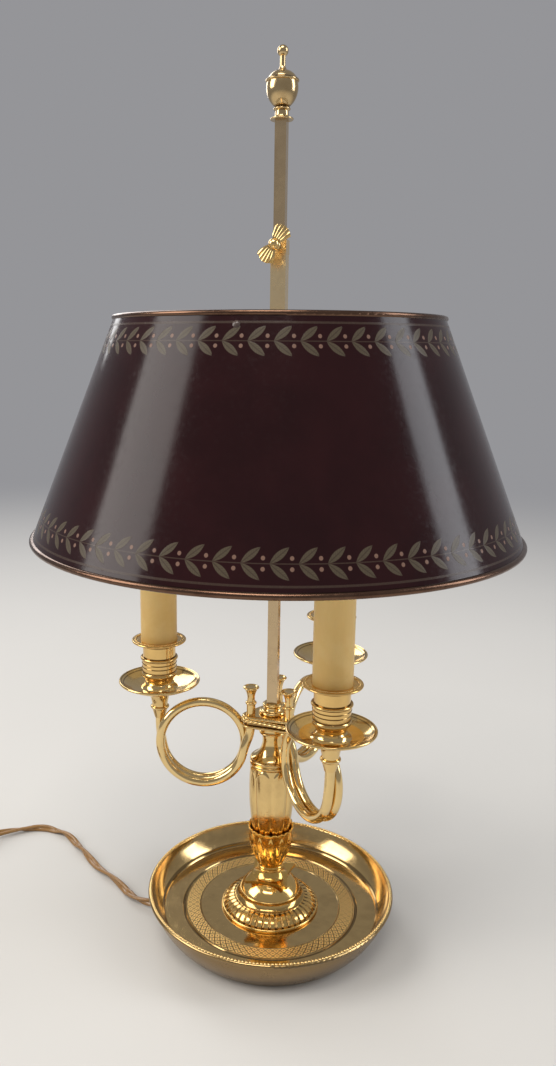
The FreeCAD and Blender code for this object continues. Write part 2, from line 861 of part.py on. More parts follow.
def rod_pedestal():
    low = hub_top
    tall = d.pedestal_tall
    first = d.pedestal_low - 1.3
    second = d.pedestal_high - 0.9
    turned("rod_pedestal", [
        (tie_hole, low),
        (first, low),
        (first, low + 2.6, 1.3),
        (first - 0.7, low + 2.6),
        (second + 0.2, low + tall - 2.6, -2.6),
        (second, low + tall - 2.6),
        (second, low + tall - 0.8, 0.9),
        (second - 0.8, low + tall),
        (0.0, low + tall),
        (0.0, low + tall * 0.5),
        (tie_hole, low + tall * 0.5),
    ])


# Horn arms


def arm_place(arm):
    azimuth = lobe_azimuth(arm)
    return arm_reach * cosine(azimuth), arm_reach * sine(azimuth)


def horn(arm, name):
    """Coiled tube: down from the hub, once and a half round, and up to the bell.

    The strand that leaves the mouthpiece lies beside the one that ends in the bell; the tube
    changes over from one to the other across the top of the loop."""
    radius = float(d.loop_radius)
    centre = float(loop_centre)
    height = float(loop_height)
    spacing = 2.0 * float(d.horn_radius) + float(d.strand_gap)
    azimuth = math.radians(float(lobe_azimuth(arm)))
    outward = Vector(math.cos(azimuth), math.sin(azimuth), 0)
    aside = Vector(-math.sin(azimuth), math.cos(azimuth), 0)

    def place(out, up, off):
        return outward * out + aside * off + Vector(0, 0, up)

    def on_loop(turn, off, drift):
        angle = math.radians(turn)
        where = place(centre + radius * math.cos(angle), height + radius * math.sin(angle), off)
        heading = place(-math.sin(angle), math.cos(angle), drift)
        return where, heading.normalize()

    stations = [(place(float(d.mouth_reach) + 0.3, float(hub_base), float(d.mouth_aside)),
                 Vector(0, 0, -1))]
    stations.append(on_loop(192.0, spacing, 0.0))
    for turn in (270.0, 360.0):
        stations.append(on_loop(turn, spacing, 0.0))
    stations.append(on_loop(450.0, spacing / 2.0, -1.5 * spacing / (math.pi * radius)))
    for turn in (540.0, 630.0, 708.0):
        stations.append(on_loop(turn, 0.0, 0.0))
    stations.append((place(float(arm_reach), float(bell_base), 0.0), Vector(0, 0, 1)))
    formed("horn_" + name, pipe(smooth_wire(stations), d.horn_radius, stations[0][0], stations[0][1]))


def mouthpiece(arm, name):
    across, along = mouth_place(arm)
    stem = d.mouth_stem
    disc = d.mouth_disc
    low = hub_top
    tall = d.mouth_tall
    turned("mouthpiece_" + name, [
        (0.0, low),
        (stem, low),
        (stem, low + tall * 0.36),
        (stem + 0.1, low + tall * 0.36),
        (stem + 0.1, low + tall * 0.36 + 2.2, 1.12),
        (stem - 0.2, low + tall * 0.36 + 2.2),
        (disc - 1.0, low + tall - 2.2, -14.0),
        (disc - 0.4, low + tall - 1.6),
        (disc - 0.4, low + tall - 0.4, 0.62),
        (disc - 1.4, low + tall),
        (disc - 2.4, low + tall - 0.6),
        (0.0, low + tall - 0.8),
    ], across, along)


def bell(arm, name):
    across, along = arm_place(arm)
    ring = bell_base + d.bell_ring_rise
    turned("bell_" + name, [
        (0.0, bell_base),
        (d.bell_base_radius, bell_base),
        (d.bell_ring - 0.9, ring - 1.6),
        (d.bell_ring - 0.5, ring - 1.2),
        (d.bell_ring - 0.5, ring + 1.2, 1.25),
        (d.bell_ring - 0.9, ring + 1.2),
        (d.bell_mouth - 0.8, bell_top - 3.2, -22.0),
        (d.bell_mouth, bell_top),
        (0.0, bell_top),
    ], across, along)


def drip_pan(arm, name):
    across, along = arm_place(arm)
    low = bell_top
    plane = low + d.pan_rise
    bead = d.pan_bead
    edge = d.pan_radius - bead
    wall = d.pan_wall
    turned("drip_pan_" + name, [
        (0.0, low),
        (d.bell_mouth + 1.4, low),
        (d.pan_radius * 0.72, low + 1.6),
        (edge - 0.7, plane - bead * 1.7, 26.0),
        (edge, plane - bead * 2),
        (edge, plane, half_round(bead)),
        (edge - 1.6, plane - 0.7),
        (d.pan_radius * 0.70, low + 1.6 + wall, -26.0),
        (d.pan_boss + 3.0, low + wall),
        (d.pan_boss, low + d.pan_boss_rise, -6.0),
        (d.pan_boss - 1.0, low + d.pan_boss_rise + 1.0),
        (0.0, low + d.pan_boss_rise + 1.0),
    ], across, along)


def candle_cup(arm, name):
    across, along = arm_place(arm)
    low = cup_floor
    top = low + d.candle_cup_tall
    body = d.candle_cup_body
    upper = d.candle_cup_upper
    bulge = d.candle_cup_bulge
    inner = upper - d.candle_cup_wall
    turned("candle_cup_" + name, [
        (d.nipple_radius + 0.1, low),
        (d.pan_boss - 1.2, low),
        (bulge - 2.4, low + 4.2, -5.2),
        (bulge - 2.4, low + 9.0, 2.8),
        (body, low + 9.0),
        (body, low + 12.4),
        (body + 0.35, low + 12.8),
        (body, low + 13.2),
        (body, low + 15.4),
        (body + 0.35, low + 15.8),
        (body, low + 16.2),
        (body, low + 18.4),
        (bulge - 1.0, low + 18.4),
        (bulge - 1.0, low + 20.8, 1.25),
        (upper, low + 20.8),
        (upper, top - 4.4),
        (d.candle_cup_rim - 1.0, top - 1.6, -9.6),
        (d.candle_cup_rim - 0.6, top - 1.6),
        (d.candle_cup_rim - 0.6, top, 0.82),
        (d.candle_cup_rim - 3.0, top),
        (d.candle_cup_rim - 3.4, top - 0.3),
        (d.sleeve_radius + 0.5, top - 0.3),
        (d.sleeve_radius + 0.2, top - 0.8),
        (inner, top - 0.8),
        (inner, low + 2.0),
        (d.nipple_radius + 0.1, low + 2.0),
    ], across, along)


def candle_sleeve(arm, name):
    across, along = arm_place(arm)
    low = cup_floor + d.candle_cup_tall - 0.8
    top = low + d.sleeve_tall
    outer = d.sleeve_radius
    turned("candle_sleeve_" + name, [
        (outer - d.sleeve_wall, low),
        (outer, low),
        (outer, top - 1.0),
        (outer - 1.0, top, 1.0),
        (d.holder_radius + 0.2, top),
        (d.holder_radius + 0.2, top - 1.2),
        (outer - d.sleeve_wall, top - 2.2),
    ], across, along)


def lamp_holder(arm, name):
    across, along = arm_place(arm)
    low = cup_floor
    top = low + d.candle_cup_tall - 0.8 + d.sleeve_tall
    seat = top - d.bulb_base_tall
    turned("lamp_holder_" + name, [
        (0.0, low),
        (d.nipple_radius, low),
        (d.nipple_radius, top - d.holder_tall - 3.0),
        (d.holder_radius - 2.0, top - d.holder_tall),
        (d.holder_radius, top - d.holder_tall + 3.0),
        (d.holder_radius, top),
        (d.bulb_base_radius + 0.2, top),
        (d.bulb_base_radius + 0.2, seat),
        (0.0, seat),
    ], across, along)


def bulb(arm, name):
    across, along = arm_place(arm)
    seat = cup_floor + d.candle_cup_tall - 0.8 + d.sleeve_tall - d.bulb_base_tall
    neck = seat + d.bulb_base_tall + 1.0
    tall = d.bulb_tall
    turned("bulb_" + name, [
        (0.0, seat),
        (d.bulb_base_radius - 1.5, seat),
        (d.bulb_base_radius, seat + 1.5),
        (d.bulb_base_radius, neck),
        (d.bulb_radius, neck + tall * 0.34, 34.0),
        (d.bulb_radius * 0.30, neck + tall * 0.86, 62.0),
        (0.0, neck + tall, -24.0),
    ], across, along)


# Rod, finial and shade


def square_rod():
    half = d.rod_side / 2
    front = d.rod_azimuth
    keep(primitive("Box", "square_rod", turn=facing(front),
                   at=(half * sine(front) - half * cosine(front),
                       -half * cosine(front) - half * sine(front), pedestal_top),
                   Length=d.rod_side, Width=d.rod_side, Height=d.rod_top - pedestal_top))


def finial():
    low = d.rod_top
    urn = low + d.finial_urn_base
    lid = urn + d.finial_urn_tall
    ball = d.finial_ball
    top = low + d.finial_tall
    neck = d.finial_neck
    turned("finial", [
        (0.0, low),
        (d.finial_flange - 0.6, low),
        (d.finial_flange - 0.6, low + 1.2, 0.62),
        (d.finial_stem, low + 2.6, -2.2),
        (d.finial_stem - 0.3, low + 5.6),
        (d.finial_stem + 0.6, low + 6.4),
        (d.finial_stem + 0.6, low + 7.6, 0.65),
        (d.finial_stem, urn - 0.6),
        (d.finial_lid - 0.9, lid - 1.0, 15.0),
        (d.finial_lid - 0.5, lid - 1.0),
        (d.finial_lid - 0.5, lid + 0.6, 0.85),
        (d.finial_lid - 1.4, lid + 1.2),
        (neck + 1.6, lid + 6.2, 9.5),
        (neck, lid + 9.4, -4.6),
        (neck, top - ball - root(ball * ball - neck * neck)),
        (ball, top - ball, ball),
        (0.0, top, ball),
    ])


low_centre = (d.shade_bottom_radius - d.bottom_bead, d.shade_bottom + d.bottom_bead)
high_centre = (d.shade_top_radius - d.top_bead, d.shade_top - d.top_bead)
shade_run = low_centre[0] - high_centre[0]
shade_rise = high_centre[1] - low_centre[1]
shade_slant = root(shade_run * shade_run + shade_rise * shade_rise)
spider_height = d.shade_top - d.spider_drop
collar_bottom = spider_height + d.slide_above
collar_top = collar_bottom + d.collar_tall
screw_height = (collar_bottom + collar_top) / 2


def on_sheet(centre, way, side, bead):
    """Corner where the sheet's edge meets a bead, on its outer or inner face."""
    half = d.shade_sheet / 2
    along = root(bead * bead - half * half) * way
    return (centre[0] - along * shade_run / shade_slant + half * side * shade_rise / shade_slant,
            centre[1] + along * shade_rise / shade_slant + half * side * shade_run / shade_slant)


def shade_shell():
    turned("shade_shell", [
        on_sheet(low_centre, 1, -1, d.bottom_bead),
        on_sheet(low_centre, 1, 1, d.bottom_bead),
        on_sheet(high_centre, -1, 1, d.top_bead),
        on_sheet(high_centre, -1, -1, d.top_bead),
    ])


def shade_beads():
    """Rolled wire rims; each is a round bead with a flat where the sheet enters."""
    for name, centre, way, bead in (("shade_bottom_bead", low_centre, 1, d.bottom_bead),
                                    ("shade_top_bead", high_centre, -1, d.top_bead)):
        half = d.shade_sheet / 2
        away = (centre[0] + bead * way * shade_run / shade_slant,
                centre[1] - bead * way * shade_rise / shade_slant)
        turned(name, [
            on_sheet(centre, way, 1, bead),
            on_sheet(centre, way, -1, bead),
            away + ((bead if way > 0 else -bead),),
            on_sheet(centre, way, 1, bead) + ((bead if way > 0 else -bead),),
        ][1:])


def sheet_radius(height, side=-1):
    """Radius of the sheet's inner or outer face at a height."""
    half = d.shade_sheet / 2 * shade_slant / shade_rise
    return low_centre[0] - (height - low_centre[1]) * shade_run / shade_rise + half * side


def shade_spider():
    """Flat hub with three straps that bend down along the sheet."""
    lean = math.degrees(math.atan2(shade_run, shade_rise))
    low = float(spider_height)
    thick = float(d.spider_thick)
    wide = float(d.spider_wide)
    reach = float(sheet_radius(spider_height + d.spider_thick)) - 0.25
    tab = float(d.spider_tab)
    shape = Part.makeCylinder(float(d.spider_hub), thick, Vector(0, 0, low))
    for arm in range(3):
        strap = Part.makeBox(reach - 1.5, wide, thick, Vector(0, -wide / 2.0, low))
        flap = Part.makeBox(thick, wide, tab, Vector(-thick, -wide / 2.0, -tab))
        flap.Placement = FreeCAD.Placement(Vector(reach, 0, low + thick), Rotation(Vector(0, 1, 0), -lean))
        arm_shape = strap.fuse(flap)
        arm_shape.rotate(Vector(), Vector(0, 0, 1), float(d.rod_azimuth) + 120.0 * arm)
        shape = shape.fuse(arm_shape)
    side = float(d.slide_side)
    hole = Part.makeBox(side, side, 4.0 * thick, Vector(-side / 2.0, -side / 2.0, low - thick))
    hole.rotate(Vector(), Vector(0, 0, 1), float(d.rod_azimuth))
    formed("shade_spider", shape.cut(hole).removeSplitter())


def spider_rivets():
    """Three domed heads on the outside of the sheet, opposite the flaps."""
    lean = math.degrees(math.atan2(shade_run, shade_rise))
    height = float(spider_height + d.spider_thick - d.rivet_drop)
    heads = []
    head = float(d.rivet_head)
    radius = float(d.rivet_radius)
    ball = (radius * radius + head * head) / (2.0 * head)
    for arm in range(3):
        dome = Part.makeSphere(ball, Vector(0, 0, head - ball))
        disc = Part.makeCylinder(radius, head, Vector(0, 0, 0))
        rivet = dome.common(disc)
        rivet.Placement = FreeCAD.Placement(
            Vector(float(sheet_radius(height, 1)) + 0.02, 0, height), Rotation(Vector(0, 1, 0), 90.0 - lean))
        rivet.rotate(Vector(), Vector(0, 0, 1), float(d.rod_azimuth) + 120.0 * arm)
        heads.append(rivet)
    formed("spider_rivets", Part.makeCompound(heads))


def square_corners(side):
    half = side / 2
    return [(half, -half), (half, half), (-half, half), (-half, -half)]


def square_tube(name, side, low, tall):
    """Square tube that slides on the rod."""
    body = new_body(name)
    upright(body, square_corners(side), low, tall)
    sketch = outline_sketch(body, square_corners(d.rod_side + d.slide_gap * 2), "XY_Plane")
    sketch.AttachmentOffset = FreeCAD.Placement(Vector(0, 0, float(low)), Rotation())
    bind(sketch, "AttachmentOffset.Base.z", low)
    pocket = body.newObject("PartDesign::Pocket", name + "_bore")
    pocket.Profile = sketch
    pocket.Reversed = True
    pocket.Length = float(tall)
    bind(pocket, "Length", tall)
    turn_to(body, d.rod_azimuth)
    return body


def slide_sleeve():
    low = spider_height - d.slide_below
    keep(square_tube("slide_sleeve", d.slide_side, low, collar_bottom - low))


def sleeve_collar():
    body = square_tube("sleeve_collar", d.collar_side, collar_bottom, d.collar_tall)
    doc.recompute()
    thread = body.newObject("PartDesign::SubtractiveCylinder", "screw_thread")
    thread.Radius = float(d.screw_radius + d.screw_clearance)
    bind(thread, "Radius", d.screw_radius + d.screw_clearance)
    thread.Height = float(d.collar_side)
    bind(thread, "Height", d.collar_side)
    thread.Placement = FreeCAD.Placement(Vector(0, 0, float(screw_height)), Rotation(Vector(0, 1, 0), 90))
    bind(thread, "Placement.Base.z", screw_height)
    keep(body)


def thumb_screw():
    """Shank, hub and two fan-shaped wings; built along +X and turned to the front."""
    half = float(d.wing_span) / 2.0
    wide = float(d.wing_wide) / 2.0
    waist = float(d.wing_waist) / 2.0
    thick = float(d.wing_thick)
    start = float(d.screw_reach)
    shank_start = float(d.rod_side) / 2.0 + float(d.slide_gap)
    shank = Part.makeCylinder(float(d.screw_radius), start - shank_start, Vector(shank_start, 0, 0),
                              Vector(1, 0, 0))
    hub = Part.makeCylinder(float(d.screw_hub), float(d.screw_hub_long), Vector(start, 0, 0),
                            Vector(1, 0, 0))
    wing_start = start + float(d.screw_hub_long) - thick - 2.4
    shape = shank.fuse(hub)
    for way in (-1.0, 1.0):
        root_low = Vector(wing_start, -waist, 0)
        root_high = Vector(wing_start, waist, 0)
        tip_low = Vector(wing_start, -wide, way * half * 0.72)
        tip_high = Vector(wing_start, wide, way * half * 0.72)
        crown = Vector(wing_start, 0, way * half)
        outline = Part.Wire([Part.LineSegment(root_low, tip_low).toShape(),
                             Part.Arc(tip_low, crown, tip_high).toShape(),
                             Part.LineSegment(tip_high, root_high).toShape(),
                             Part.LineSegment(root_high, root_low).toShape()])
        shape = shape.fuse(Part.Face(outline).extrude(Vector(thick, 0, 0)))
    shape = shape.removeSplitter()
    shape.rotate(Vector(), Vector(1, 0, 0), float(d.wing_turn_angle))
    shape.rotate(Vector(), Vector(0, 0, 1), float(d.rod_azimuth))
    shape.translate(Vector(0, 0, float(screw_height)))
    formed("thumb_screw", shape)


# Flex, switch and plug


def rounded_path(name, places, radius):
    """Straight runs joined by tangent arcs, each as large as its two runs allow."""
    edges = []
    radii = []
    at = places[0]
    for before, corner, after in zip(places, places[1:], places[2:]):
        arriving = (corner - before).normalize()
        leaving = (after - corner).normalize()
        run = min((corner - before).Length, (after - corner).Length)
        half_turn = arriving.getAngle(leaving) / 2.0
        back = 0.45 * run
        radii.append(back / math.tan(half_turn))
        start = corner - arriving * back
        end = corner + leaving * back
        inward = (leaving - arriving).normalize()
        middle = corner + inward * (radii[-1] / math.cos(half_turn) - radii[-1])
        edges.append(Part.LineSegment(at, start).toShape())
        edges.append(Part.Arc(start, middle, end).toShape())
        at = end
    edges.append(Part.LineSegment(at, places[-1]).toShape())
    wire = Part.Wire(edges)
    print(name, "radii", [round(value, 1) for value in radii], "length", round(wire.Length, 1))
    tube = pipe(wire, radius, places[0], (places[1] - places[0]).normalize())
    expected = math.pi * float(radius) ** 2 * wire.Length
    print(name, "volume against section times length", round(tube.Volume / expected, 4))
    formed(name, tube)


flex_height = float(d.flex_radius) + float(d.flex_floor_gap)


def on_floor(route, height=flex_height):
    return [Vector(across, along, height) for across, along in route]


def along_heading(start, heading, reach):
    angle = math.radians(heading)
    return (start[0] + reach * math.cos(angle), start[1] + reach * math.sin(angle))


def bush_outside():
    """Radius at which the flex leaves its bush."""
    return float(d.foot_radius) + float(d.bush_proud)


def cord_grommet():
    """Bush through the foot's wall, with a tapered nose outside."""
    angle = math.radians(float(d.exit_azimuth))
    axis = Vector(math.cos(angle), math.sin(angle), 0)
    height = Vector(0, 0, float(d.exit_height))
    inner = float(d.foot_radius) - 8.0
    outer = bush_outside()
    nose_long = float(d.bush_nose)
    radius = float(d.bush_radius) - 0.05
    bore_radius = float(d.flex_radius) + float(d.bush_clearance)
    bush = Part.makeCylinder(radius, outer - nose_long - inner, axis * inner + height, axis)
    nose = Part.makeCone(radius, radius - 0.9, nose_long, axis * (outer - nose_long) + height, axis)
    bore = Part.makeCylinder(bore_radius, outer - inner + 2.0, axis * (inner - 1.0) + height, axis)
    formed("cord_grommet", bush.fuse(nose).cut(bore).removeSplitter())


def cord_lead():
    angle = math.radians(float(d.exit_azimuth))
    reach = bush_outside() - 1.0
    start = Vector(reach * math.cos(angle), reach * math.sin(angle), float(d.exit_height))
    places = [start] + on_floor(LEAD_ROUTE) + on_floor([SWITCH_ENTRY])
    places[1].z = flex_height + 0.9
    places[-2].z = places[-1].z = switch_flex_height()
    rounded_path("cord_lead", places, d.flex_radius)


def switch_flex_height():
    return float(d.switch_split) - float(d.flex_radius) + 0.4


def switch_end():
    return along_heading(SWITCH_ENTRY, SWITCH_HEADING, float(d.switch_long))


def coil_stations():
    """Spiral in on the floor, climb a layer in half a turn, and spiral out on top."""
    outer = float(d.coil_outer)
    pitch = float(d.coil_pitch)
    inner = outer - pitch * float(d.coil_turns_in)
    low = flex_height
    high = flex_height + pitch
    whole_in = 360.0 * float(d.coil_turns_in)
    whole_out = 360.0 * float(d.coil_turns_out)

    def at(turn):
        if turn <= whole_in:
            return outer - pitch * turn / 360.0, low
        if turn <= whole_in + 180.0:
            share = (turn - whole_in) / 180.0
            smooth = share * share * (3.0 - 2.0 * share)
            drawn_in = 0.3 * pitch * math.sin(math.pi * share)
            return inner - drawn_in, low + (high - low) * smooth
        return inner + pitch * (turn - whole_in - 180.0) / 360.0, high

    def place(turn):
        reach, height = at(turn)
        angle = math.radians(180.0 + turn)
        return Vector(COIL_CENTRE[0] + reach * math.cos(angle),
                      COIL_CENTRE[1] + reach * math.sin(angle), height)

    stations = []
    step = 90.0
    count = int(round((whole_in + 180.0 + whole_out) / step))
    for index in range(count + 1):
        turn = index * step
        small = 0.5
        ahead = place(min(turn + small, whole_in + 180.0 + whole_out))
        behind = place(max(turn - small, 0.0))
        stations.append((place(turn), (ahead - behind).normalize()))
    return stations


def cord_tail():
    start = switch_end()
    stations = coil_stations()
    places = [Vector(start[0], start[1], switch_flex_height())] + on_floor(TAIL_ROUTE) + [stations[0][0]]
    places[1].z = switch_flex_height()
    rounded_path("cord_tail", places, d.flex_radius)


def cord_coil():
    stations = coil_stations()
    plug_end = Vector(PLUG_ENTRY[0], PLUG_ENTRY[1], float(d.plug_tall) / 2.0)
    plug_angle = math.radians(PLUG_HEADING)
    stations.append((plug_end, Vector(math.cos(plug_angle), math.sin(plug_angle), 0)))
    wire = smooth_wire(stations)
    tube = pipe(wire, d.flex_radius, stations[0][0], stations[0][1])
    points = wire.discretize(Number=900)
    step = wire.Length / 899.0
    far = int(30.0 / step)
    least = min((points[i] - points[j]).Length for i in range(0, 900, 3)
                for j in range(i + far, 900)) - 2.0 * float(d.flex_radius)
    print("cord_coil length", round(wire.Length, 1), "least gap to itself", round(least, 2))
    formed("cord_coil", tube)


def switch_shape(low, tall):
    """Part of the inline switch between two heights, on the flex's line."""
    long = float(d.switch_long)
    wide = float(d.switch_wide) / 2.0
    whole = float(d.switch_tall)
    nose = 5.2
    outline = [(0, -nose), (14, -wide), (long - 14, -wide), (long, -nose), (long, nose),
               (long - 14, wide), (14, wide), (0, nose)]
    corners = [Vector(x, y, 0) for x, y in outline]
    edges = []
    for index in range(8):
        edges.append(Part.LineSegment(corners[index - 1], corners[index]).toShape())
    block = Part.Face(Part.Wire(edges)).extrude(Vector(0, 0, whole))
    block = block.makeFillet(float(d.switch_fillet), [edge for edge in block.Edges if
                                                      edge.BoundBox.ZLength < 0.01 and
                                                      edge.CenterOfMass.z > whole / 2.0])
    slab = Part.makeBox(long + 20, 2 * wide + 20, tall, Vector(-10, -wide - 10, low))
    return block.common(slab)


def place_switch(shape):
    shape.rotate(Vector(), Vector(0, 0, 1), SWITCH_HEADING)
    shape.translate(Vector(SWITCH_ENTRY[0], SWITCH_ENTRY[1], 0))
    return shape


def rocker_axis_height():
    return float(d.switch_tall) - 2.2


def switch():
    long = float(d.switch_long)
    whole = float(d.switch_tall)
    split = float(d.switch_split)
    gap = float(d.rocker_gap)
    depth = float(d.rocker_depth)
    rocker_long = float(d.rocker_long)
    rocker_wide = float(d.rocker_wide)
    base = switch_shape(0.0, split)
    formed("switch_base", place_switch(base))
    well = Part.makeBox(rocker_long + 2 * gap, rocker_wide + 2 * gap, depth + 5.0,
                        Vector((long - rocker_long) / 2.0 - gap, -rocker_wide / 2.0 - gap,
                               whole - depth - gap))
    pin = Part.makeCylinder(1.5, rocker_wide + 6.0, Vector(long / 2.0, -rocker_wide / 2.0 - 3.0,
                                                            rocker_axis_height()), Vector(0, 1, 0))
    top = switch_shape(split, whole - split).cut(well).cut(pin)
    formed("switch_top", place_switch(top))
    rocker_body()


def rocker_body():
    """Rocker with two sloped pads, on a pin through the switch's sides."""
    long = float(d.switch_long)
    axis = rocker_axis_height()
    half = float(d.rocker_long) / 2.0
    wide = float(d.rocker_wide)
    proud = float(d.switch_tall) + float(d.rocker_proud)
    middle = float(d.switch_tall) - 0.6
    low = axis - float(d.rocker_depth) * 0.45
    profile = [Vector(-half, 0, axis - 1.2), Vector(-half * 0.35, 0, low), Vector(half * 0.35, 0, low),
               Vector(half, 0, axis - 1.2), Vector(half, 0, proud), Vector(0, 0, middle),
               Vector(-half, 0, proud)]
    edges = [Part.LineSegment(profile[index - 1], profile[index]).toShape() for index in range(7)]
    block = Part.Face(Part.Wire(edges)).extrude(Vector(0, wide, 0))
    block.translate(Vector(long / 2.0, -wide / 2.0, 0))
    pin = Part.makeCylinder(1.45, wide + 5.6, Vector(long / 2.0, -wide / 2.0 - 2.8, axis), Vector(0, 1, 0))
    formed("switch_rocker", place_switch(block.fuse(pin).removeSplitter()))


def place_plug(shape):
    shape.rotate(Vector(), Vector(0, 0, 1), PLUG_HEADING)
    shape.translate(Vector(PLUG_ENTRY[0], PLUG_ENTRY[1], 0))
    return shape


def plug():
    """Flat two-pin plug: a body that widens from the flex to its face, and two round pins."""
    tall = float(d.plug_tall)
    long = float(d.plug_long)
    wide = float(d.plug_wide) / 2.0
    nose = 5.6
    corners = [Vector(0, -nose, 0), Vector(long * 0.45, -nose - 3.0, 0), Vector(long - 4.0, -wide, 0),
               Vector(long, -wide, 0), Vector(long, wide, 0), Vector(long - 4.0, wide, 0),
               Vector(long * 0.45, nose + 3.0, 0), Vector(0, nose, 0)]
    edges = [Part.LineSegment(corners[index - 1], corners[index]).toShape() for index in range(8)]
    body = Part.Face(Part.Wire(edges)).extrude(Vector(0, 0, tall))
    body = body.makeFillet(2.6, [edge for edge in body.Edges if edge.BoundBox.ZLength < 0.01 and
                                 edge.BoundBox.XMin < long - 0.5])
    formed("plug_body", place_plug(body))
    pins = []
    for side in (-1.0, 1.0):
        start = Vector(long, side * float(d.pin_spacing) / 2.0, tall / 2.0)
        pin = Part.makeCylinder(float(d.pin_radius), float(d.pin_long), start, Vector(1, 0, 0))
        pins.append(pin.makeFillet(0.8, [edge for edge in pin.Edges if edge.CenterOfMass.x >
                                         start.x + float(d.pin_long) - 0.1]))
    formed("plug_pins", place_plug(Part.makeCompound(pins)))


def build():
    base_dish()
    felt_pad()
    base_weight()
    lead_block()
    tie_rod()
    gadroon_foot()
    plinth()
    leaf_cup()
    stem_vase()
    stem_neck()
    hub_plate()
    hub_binding()
    rod_pedestal()
    for arm, name in enumerate(("left", "front", "back")):
        for make in (horn, mouthpiece, bell, drip_pan, candle_cup, lamp_holder, candle_sleeve, bulb):
            make(arm, name)
    square_rod()
    finial()
    shade_shell()
    shade_beads()
    shade_spider()
    spider_rivets()
    slide_sleeve()
    sleeve_collar()
    thumb_screw()
    cord_grommet()
    cord_lead()
    cord_tail()
    cord_coil()
    switch()
    plug()


def write_steps():
    """Every piece is whole and sound before any file is written."""
    doc.recompute()
    faults = [thing.Label for thing in doc.Objects if "Invalid" in thing.State or "Error" in thing.State]
    for piece in pieces:
        if piece.Shape.isNull() or not piece.Shape.isValid() or not piece.Shape.Solids:
            faults.append(piece.Label)
    if faults:
        raise RuntimeError("unsound: " + ", ".join(faults))
    os.makedirs("parts", exist_ok=True)
    for piece in pieces:
        piece.Shape.exportStep("parts/" + piece.Label + ".step")
    print(len(pieces), "pieces")


build()
write_steps()
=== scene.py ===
import math

import bpy
from mathutils import Matrix, Vector


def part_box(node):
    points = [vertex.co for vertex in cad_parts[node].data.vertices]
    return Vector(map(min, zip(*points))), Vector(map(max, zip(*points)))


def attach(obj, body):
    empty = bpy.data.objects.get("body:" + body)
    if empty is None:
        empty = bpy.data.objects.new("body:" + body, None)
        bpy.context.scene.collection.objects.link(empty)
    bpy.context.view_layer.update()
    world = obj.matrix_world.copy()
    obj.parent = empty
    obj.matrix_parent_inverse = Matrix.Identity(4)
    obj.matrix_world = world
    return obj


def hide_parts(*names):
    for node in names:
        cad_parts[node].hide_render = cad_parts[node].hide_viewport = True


# Bouillotte lamp: its looks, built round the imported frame. Metres, +Z up, looked at along +Y.

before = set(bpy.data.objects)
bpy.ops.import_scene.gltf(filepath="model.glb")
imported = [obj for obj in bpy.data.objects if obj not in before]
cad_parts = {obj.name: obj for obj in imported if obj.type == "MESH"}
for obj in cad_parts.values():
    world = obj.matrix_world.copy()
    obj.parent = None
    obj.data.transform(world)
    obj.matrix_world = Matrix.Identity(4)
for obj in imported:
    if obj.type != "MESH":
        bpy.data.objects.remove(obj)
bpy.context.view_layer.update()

ARMS = ("left", "front", "back")

# Camera, as the photograph was taken
IMAGE_WIDE = 556
IMAGE_TALL = 1066
CAMERA_PLACE = (0.0, -0.64214, 0.45963)
CAMERA_PITCH = math.radians(11.83)
CAMERA_YAW = math.radians(-2.37)
CAMERA_ROLL = math.radians(0.40)
FOCAL_PIXELS = 874.87
CENTRE_ACROSS = 240.0
SENSOR = 36.0
NEAREST = 0.01

# Flex: its section, and the route of the CAD tubes as across, along and height
FLEX_THICK = 0.0032
FLEX_START = (-0.08729, 0.00610, 0.0072)
LEAD_ROUTE = [(-0.1086, 0.0080, 0.0042), (-0.1320, 0.0390, 0.0033), (-0.1620, 0.0690, 0.0033),
              (-0.1870, 0.1060, 0.0033), (-0.2110, 0.1250, 0.0033), (-0.2400, 0.1210, 0.0033),
              (-0.2620, 0.1060, 0.0062)]
SWITCH_ENTRY = (-0.2732, 0.0976, 0.0062)
SWITCH_END = (-0.3212, 0.0616, 0.0062)
TAIL_ROUTE = [(-0.3374, 0.0494, 0.0062), (-0.3456, 0.0220, 0.0033), (-0.3445, -0.0080, 0.0033)]
COIL_CENTRE = (-0.298, -0.034)
COIL_OUTER = 0.0465
COIL_PITCH = 0.007
COIL_LOW = 0.0033
COIL_TURNS_IN = 3.0
COIL_TURNS_OUT = 2.75
COIL_POINTS = 16
COIL_EXIT = (-0.2805, -0.0788, 0.0088)
PLUG_ENTRY = (-0.2660, -0.0900, 0.0068)

# Flex: how it twists, sways and stands on edge, and the ribbed sleeve at the plug
FLEX_HALF_TURN = 0.044
FLEX_STEPS = 16
LOOSE_SWAY = 0.5
LOOSE_RATE = 41.0
EDGE_SWAY = 0.12
EDGE_RATE = 23.0
EDGE_RUN = 0.03
COIL_ENTRY = -0.012
LEAST_STEP = 0.0011
RELIEF_POINTS = 24
RELIEF_RIDGES = 14.0
RIDGE_RISE = 0.0004


def deselect():
    if bpy.context.object and bpy.context.object.mode == "EDIT":
        bpy.ops.object.mode_set(mode="OBJECT")
    bpy.ops.object.select_all(action="DESELECT")


def pick(piece):
    """Selects one piece and nothing else."""
    deselect()
    piece.select_set(True)
    bpy.context.view_layer.objects.active = piece


def middle_of(node):
    """Middle of a CAD node's box, across and along."""
    low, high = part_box(node)
    return (low[0] + high[0]) / 2, (low[1] + high[1]) / 2


def smooth_step(share):
    return share * share * (3.0 - 2.0 * share)


def around(sides):
    """Equal turns round a circle."""
    return [2.0 * math.pi * step / sides for step in range(sides)]


# Camera, floor and light


